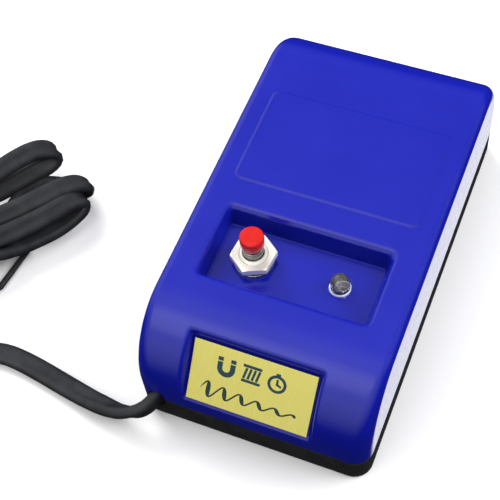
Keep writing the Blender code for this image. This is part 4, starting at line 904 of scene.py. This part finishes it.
plunger = [(0.0, 37.1), (1.45, 37.1), (1.45, 34.88), (2.1, 34.88), (2.38, 34.82), (2.52, 34.66), (2.56, 34.4), (2.56, 33.75), (2.44, 33.62), (2.44, 33.42), (2.58, 33.28),
           (2.6, 23.6), (4.2, 23.6), (4.3, 23.5), (4.3, 22.9), (4.2, 22.8), (0.9, 22.8), (0.9, 21.95), (0.85, 21.9), (0.0, 21.9)]
dress(turned("plunger", plunger, 64, BUTTON), BUTTON_BODY, "nickel", "button_plunger", mat="chrome")

cap = [(0.0, 38.74), (1.9, 38.76), (2.42, 38.78)] + [(2.42 + 0.60 * math.sin(math.radians(a)), 38.18 + 0.60 * math.cos(math.radians(a))) for a in range(15, 91, 15)]
cap += [(3.03, 37.6), (2.98, 36.6), (2.90, 35.7), (2.84, 35.3), (2.74, 35.16), (2.6, 35.15), (1.75, 35.15), (1.75, 37.4), (0.0, 37.4)]
dress(turned("cap", cap, 72, BUTTON), BUTTON_BODY, "red_cap", "button_cap")

# ---- indicator ----
lx, ly = LED
LED_Z = 29.4
dome = [(2.45 * math.sin(math.radians(a)), LED_Z + 2.45 * math.cos(math.radians(a))) for a in range(0, 91, 6)]
lens = turned("lens", dome + [(2.46, LED_Z - 2.7), (2.46, LED_Z - 5.2), (2.52, LED_Z - 5.3), (2.90, LED_Z - 5.3), (2.95, LED_Z - 5.35), (2.95, LED_Z - 6.25), (2.90, LED_Z - 6.3), (0.0, LED_Z - 6.3)], 64, LED)
dress(lens, BODY, "clear_lens", "led_lens")
# a near-white ring round the lens at the pocket floor: painted highlight standing in for light bent through the lens
# edge
collar = [(2.47, POCKET_FLOOR - 0.9), (2.47, POCKET_FLOOR + 0.28), (2.52, POCKET_FLOOR + 0.32), (2.58, POCKET_FLOOR + 0.28), (2.67, POCKET_FLOOR + 0.08), (2.72, POCKET_FLOOR - 0.1), (2.72, POCKET_FLOOR - 0.9)]
dress(turned("led_glint_collar", collar + [collar[0]], 64, LED), BODY, "clear_lens", mat="led_painted_glint")
CUP = LED_Z - 1.15
cup = turned("led_reflector", [(0.0, CUP - 0.75), (0.45, CUP - 0.75), (0.95, CUP), (1.08, CUP), (1.08, CUP - 0.45), (0.75, CUP - 1.2), (0.45, CUP - 1.7), (0.45, LED_Z - 5.8), (0.0, LED_Z - 5.8)], 40, (lx + 0.35, ly))
dress(cup, BODY, "steel", mat="led_cup")
die = block("led_die", lx + 0.35 - 0.17, lx + 0.35 + 0.17, ly - 0.17, ly + 0.17, CUP - 0.73, CUP - 0.45)
bevelled(die, 0.03, 1)
dress(die, BODY, "steel", mat="led_die")
post = block("led_post", lx - 1.45, lx - 0.85, ly - 0.22, ly + 0.22, LED_Z - 5.8, CUP - 0.1)
bevelled(post, 0.06, 1)
dress(post, BODY, "steel", mat="led_cup")

# ---- wire tie ----
tie = []
for i in range(25):
    a = math.radians(-25 + 360 * i / 24)
    tie.append(hank(-36.6 + 2.1 * i / 24, -4.0 + 11.9 * math.cos(a), 9.0 + 7.9 * math.sin(a)))
tie += [hank(-34.4, 10.6, 3.6), hank(-34.2, 12.9, 1.9), hank(-32.6, 13.6, 1.0), hank(-29.0, 12.3, 0.95), hank(-24.0, 10.0, 0.95), hank(-19.0, 7.7, 0.95)]
pts = smooth_path([(*p, 0.0, 0.0, 1.0) for p in tie], 0.8)[:, :3]
tg = np.gradient(pts, axis=0)
tg /= np.linalg.norm(tg, axis=1)[:, None]
mid = np.array(hank(-35.5, -4.0, 9.0))
verts, faces = [], []
up = None
for i, (p, tv) in enumerate(zip(pts, tg)):
    ref = A3 - tv * float(A3 @ tv)
    ref /= np.linalg.norm(ref)
    out = np.cross(tv, ref)
    for a in range(0, 360, 30):
        ca, sa = math.cos(math.radians(a)), math.sin(math.radians(a))
        verts.append(p + ref * (0.88 * math.copysign(abs(ca) ** 0.75, ca)) + out * (0.55 * math.copysign(abs(sa) ** 0.9, sa) + 0.12 * math.cos(2 * math.radians(a)) * 0))
n = 12
for i in range(len(pts) - 1):
    for j in range(n):
        faces.append((i * n + j, i * n + (j + 1) % n, (i + 1) * n + (j + 1) % n, (i + 1) * n + j))
faces.append(tuple(range(n - 1, -1, -1)))
faces.append(tuple((len(pts) - 1) * n + j for j in range(n)))
tie_o = mesh_object("wire_tie", verts, faces)
shade(tie_o, 50)
dress(tie_o, BODY, "tie_black", "cord_tie")

# ---- plug ----
PS, BLADE_Z = -31.0, 5.8
sec_n = 28


def plug_ring(t, hs, hz, p=3.2):
    pts = []
    for i in range(sec_n):
        a = math.tau * i / sec_n
        c, s_ = math.cos(a), math.sin(a)
        pts.append(hank(t, PS + hs * math.copysign(abs(c) ** (2 / p), c), BLADE_Z + hz * math.copysign(abs(s_) ** (2 / p), s_)))
    return pts


prof = [(-50.4, 3.2, 1.9, 2.2), (-50.55, 3.5, 2.2, 2.2), (-51.6, 3.6, 2.3, 2.2)]
for i in range(4):
    t = -52.2 - i * 1.55
    prof += [(t, 3.62 + 0.1 * i, 2.35 + 0.2 * i, 2.3), (t - 0.15, 3.2 + 0.1 * i, 2.0 + 0.2 * i, 2.3), (t - 0.6, 3.2 + 0.1 * i, 2.0 + 0.2 * i, 2.3), (t - 0.75, 3.75 + 0.1 * i, 2.45 + 0.2 * i, 2.3)]
prof += [(-58.6, 4.9, 3.4, 2.5), (-60.0, 6.6, 4.2, 2.8), (-62.0, 8.6, 5.0, 3.0), (-64.5, 9.7, 5.45, 3.3), (-68.0, 10.1, 5.62, 3.6), (-74.0, 10.6, 5.72, 4.0), (-79.0, 11.0, 5.78, 4.2), (-80.6, 11.0, 5.72, 4.2), (-81.2, 10.6, 5.4, 4.0), (-81.5, 9.9, 4.8, 4.0)]
verts, faces = [], []
for t, hs, hz, p in prof:
    verts += plug_ring(t, hs, hz, p)
for i in range(len(prof) - 1):
    for j in range(sec_n):
        faces.append((i * sec_n + j, i * sec_n + (j + 1) % sec_n, (i + 1) * sec_n + (j + 1) % sec_n, (i + 1) * sec_n + j))
faces.append(tuple(range(sec_n - 1, -1, -1)))
faces.append(tuple((len(prof) - 1) * sec_n + j for j in range(sec_n)))
plug = mesh_object("plug_shell", verts, faces)
bm = bmesh.new()
bm.from_mesh(plug.data)
bmesh.ops.recalc_face_normals(bm, faces=bm.faces)
bm.to_mesh(plug.data)
bm.free()
yaw = math.atan2(HANK_A[1], HANK_A[0]) - math.pi / 2
for sgn in (-1, 1):
    for i in range(5):
        c = hank(-67.5 - i * 2.3, PS + sgn * 11.3, BLADE_Z)
        m = Matrix.Translation(c) @ Matrix.Rotation(yaw, 4, "Z")
        cut(plug, block("cutter", -0.95, 0.95, -0.45, 0.45, -3.6, 3.6, m))
for sgn in (-6.35, 6.35):
    m = Matrix.Translation(hank(-78.0, PS + sgn, BLADE_Z)) @ Matrix.Rotation(yaw, 4, "Z")
    cut(plug, block("cutter", -1.05, 1.05, -4.5, 4.5, -3.45, 3.45, m))
shade(plug, 38)
weighted(plug)
dress(plug, BODY, "plug_black", "plug_body")
for i, sgn in enumerate((-6.35, 6.35)):
    m = Matrix.Translation(hank(-85.6, PS + sgn, BLADE_Z)) @ Matrix.Rotation(yaw, 4, "Z") @ Matrix(((0, 0, 1, 0), (1, 0, 0, 0), (0, 1, 0, 0), (0, 0, 0, 1)))
    blade = prism(f"blade_{i + 1}", [(-12.0, -1.9), (-11.3, -2.9), (-10.2, -3.15), (11.4, -3.15), (11.4, 3.15), (-10.2, 3.15), (-11.3, 2.9), (-12.0, 1.9)], -0.75, 0.75, m)
    hole = prism("cutter", circle(-8.6, 0.0, 1.5, 24), -2.0, 2.0, m)
    cut(blade, hole)
    bevelled(blade, 0.18, 2, 40)
    shade(blade, 30)
    weighted(blade)
    dress(blade, BODY, "nickel", f"plug_blade_{i + 1}")

# ---- carried CAD nodes ----
CARRIED = {
    "base_screw_1": "steel", "base_screw_2": "steel", "base_screw_3": "steel", "base_screw_4": "steel",
    "switch_lock_washer": "steel", "switch_base": "phenolic", "switch_terminal_1": "brass_contact", "switch_terminal_2": "brass_contact",
    "switch_contact": "brass_contact", "switch_spring": "steel", "led_lead_anode": "steel", "led_lead_cathode": "steel",
    "led_resistor": "resistor_body", "led_diode": "diode_body", "core_stack": "core_steel", "coil_bobbin": "bobbin_nylon",
    "coil_winding": "copper_wire", "coil_tape": "coil_tape", "core_bracket_front": "steel", "core_bracket_rear": "steel",
    "bracket_screw_front": "steel", "bracket_screw_rear": "steel", "core_bolt_left": "steel", "core_bolt_right": "steel",
    "core_nut_left": "steel", "core_nut_right": "steel", "cord_clamp": "bobbin_nylon", "cord_clamp_screw_1": "steel", "cord_clamp_screw_2": "steel",
    "wire_mains_to_switch": "wire_brown", "wire_switch_to_coil": "wire_red", "wire_coil_to_mains": "wire_blue",
    "wire_led_return": "wire_black", "wire_led_feed": "wire_yellow", "splice_sleeve": "sleeve_black",
}
for name, mat_name in CARRIED.items():
    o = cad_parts[name]
    for sl in o.material_slots:
        sl.material = MAT[mat_name]

# ---- floor and light ----
floor = mesh_object("floor", [(-1600, -1400, 0), (1600, -1400, 0), (1600, 1800, 0), (-1600, 1800, 0)], [(0, 1, 2, 3)])
floor.data.materials.append(material("paper_floor", (0.88, 0.88, 0.885), (0.90, 0.90, 0.905), 6.0, (0.75, 0.85), 40.0, (("noise", 1200.0, 0.03, 0.05, ONE),)))

world = bpy.data.worlds.new("studio")
world.use_nodes = True
wn, wl = world.node_tree.nodes, world.node_tree.links
direction = wn.new("ShaderNodeTexCoord").outputs["Generated"]


def lobe(axis, d0, d1, v0, v1, smooth=True):
    """Light that rises from v0 to v1 as a direction turns towards axis (d0..d1 are cosines)."""
    dot = wn.new("ShaderNodeVectorMath")
    dot.operation = "DOT_PRODUCT"
    dot.inputs[1].default_value = Vector(axis).normalized()
    wl.new(direction, dot.inputs[0])
    mr = wn.new("ShaderNodeMapRange")
    mr.interpolation_type = "SMOOTHSTEP" if smooth else "LINEAR"
    for key, val in (("From Min", d0), ("From Max", d1), ("To Min", v0), ("To Max", v1)):
        mr.inputs[key].default_value = val
    wl.new(dot.outputs["Value"], mr.inputs["Value"])
    return mr.outputs["Result"]


def plus(a, b):
    n = wn.new("ShaderNodeMath")
    n.operation = "ADD"
    wl.new(a, n.inputs[0])
    wl.new(b, n.inputs[1])
    return n.outputs[0]


sky = lobe((-0.08, -0.60, 0.79), 0.25, 0.98, 0.02, 1.22, False)
sky = plus(sky, lobe((-0.85, 0.40, 0.30), 0.70, 1.0, 0.0, 0.75))
sky = plus(sky, lobe((0.10, 0.52, -0.85), 0.93, 0.985, 0.0, 1.45))
sky = plus(sky, lobe((0.72, 0.47, 0.51), 0.84, 0.98, 0.0, 0.35))
sky = plus(sky, lobe((-0.25, -0.94, 0.22), 0.88, 0.99, 0.0, 0.20))
sky = plus(sky, lobe((-0.27, -0.45, 0.85), 0.93, 0.995, 0.0, 1.15))
sky = plus(sky, lobe((-0.25, 0.47, 0.85), 0.50, 0.95, 0.0, 0.38))
wn["Background"].inputs["Color"].default_value = (1.0, 1.0, 1.0, 1.0)
wl.new(sky, wn["Background"].inputs["Strength"])
bpy.context.scene.world = world


def area(name, at, target, size, power, color=(1, 1, 1), glossy=False):
    d = bpy.data.lights.new(name, "AREA")
    d.shape = "RECTANGLE"
    d.size, d.size_y = size
    d.energy = power
    d.color = color
    o = link(bpy.data.objects.new(name, d))
    o.location = at
    o.rotation_euler = (Vector(target) - Vector(at)).to_track_quat("-Z", "Y").to_euler()
    o.visible_glossy = glossy
    return o


area("key_left", (-0.80, 0.62, 0.75), (0, 0, 0.0), (0.7, 0.6), 13.5)
area("key_right", (0.95, 0.42, 0.75), (0, 0, 0.0), (0.9, 0.8), 16.0)
floor.visible_glossy = False
floor.visible_diffuse = False
floor.visible_shadow = False
bpy.context.scene.view_settings.view_transform = "Standard"
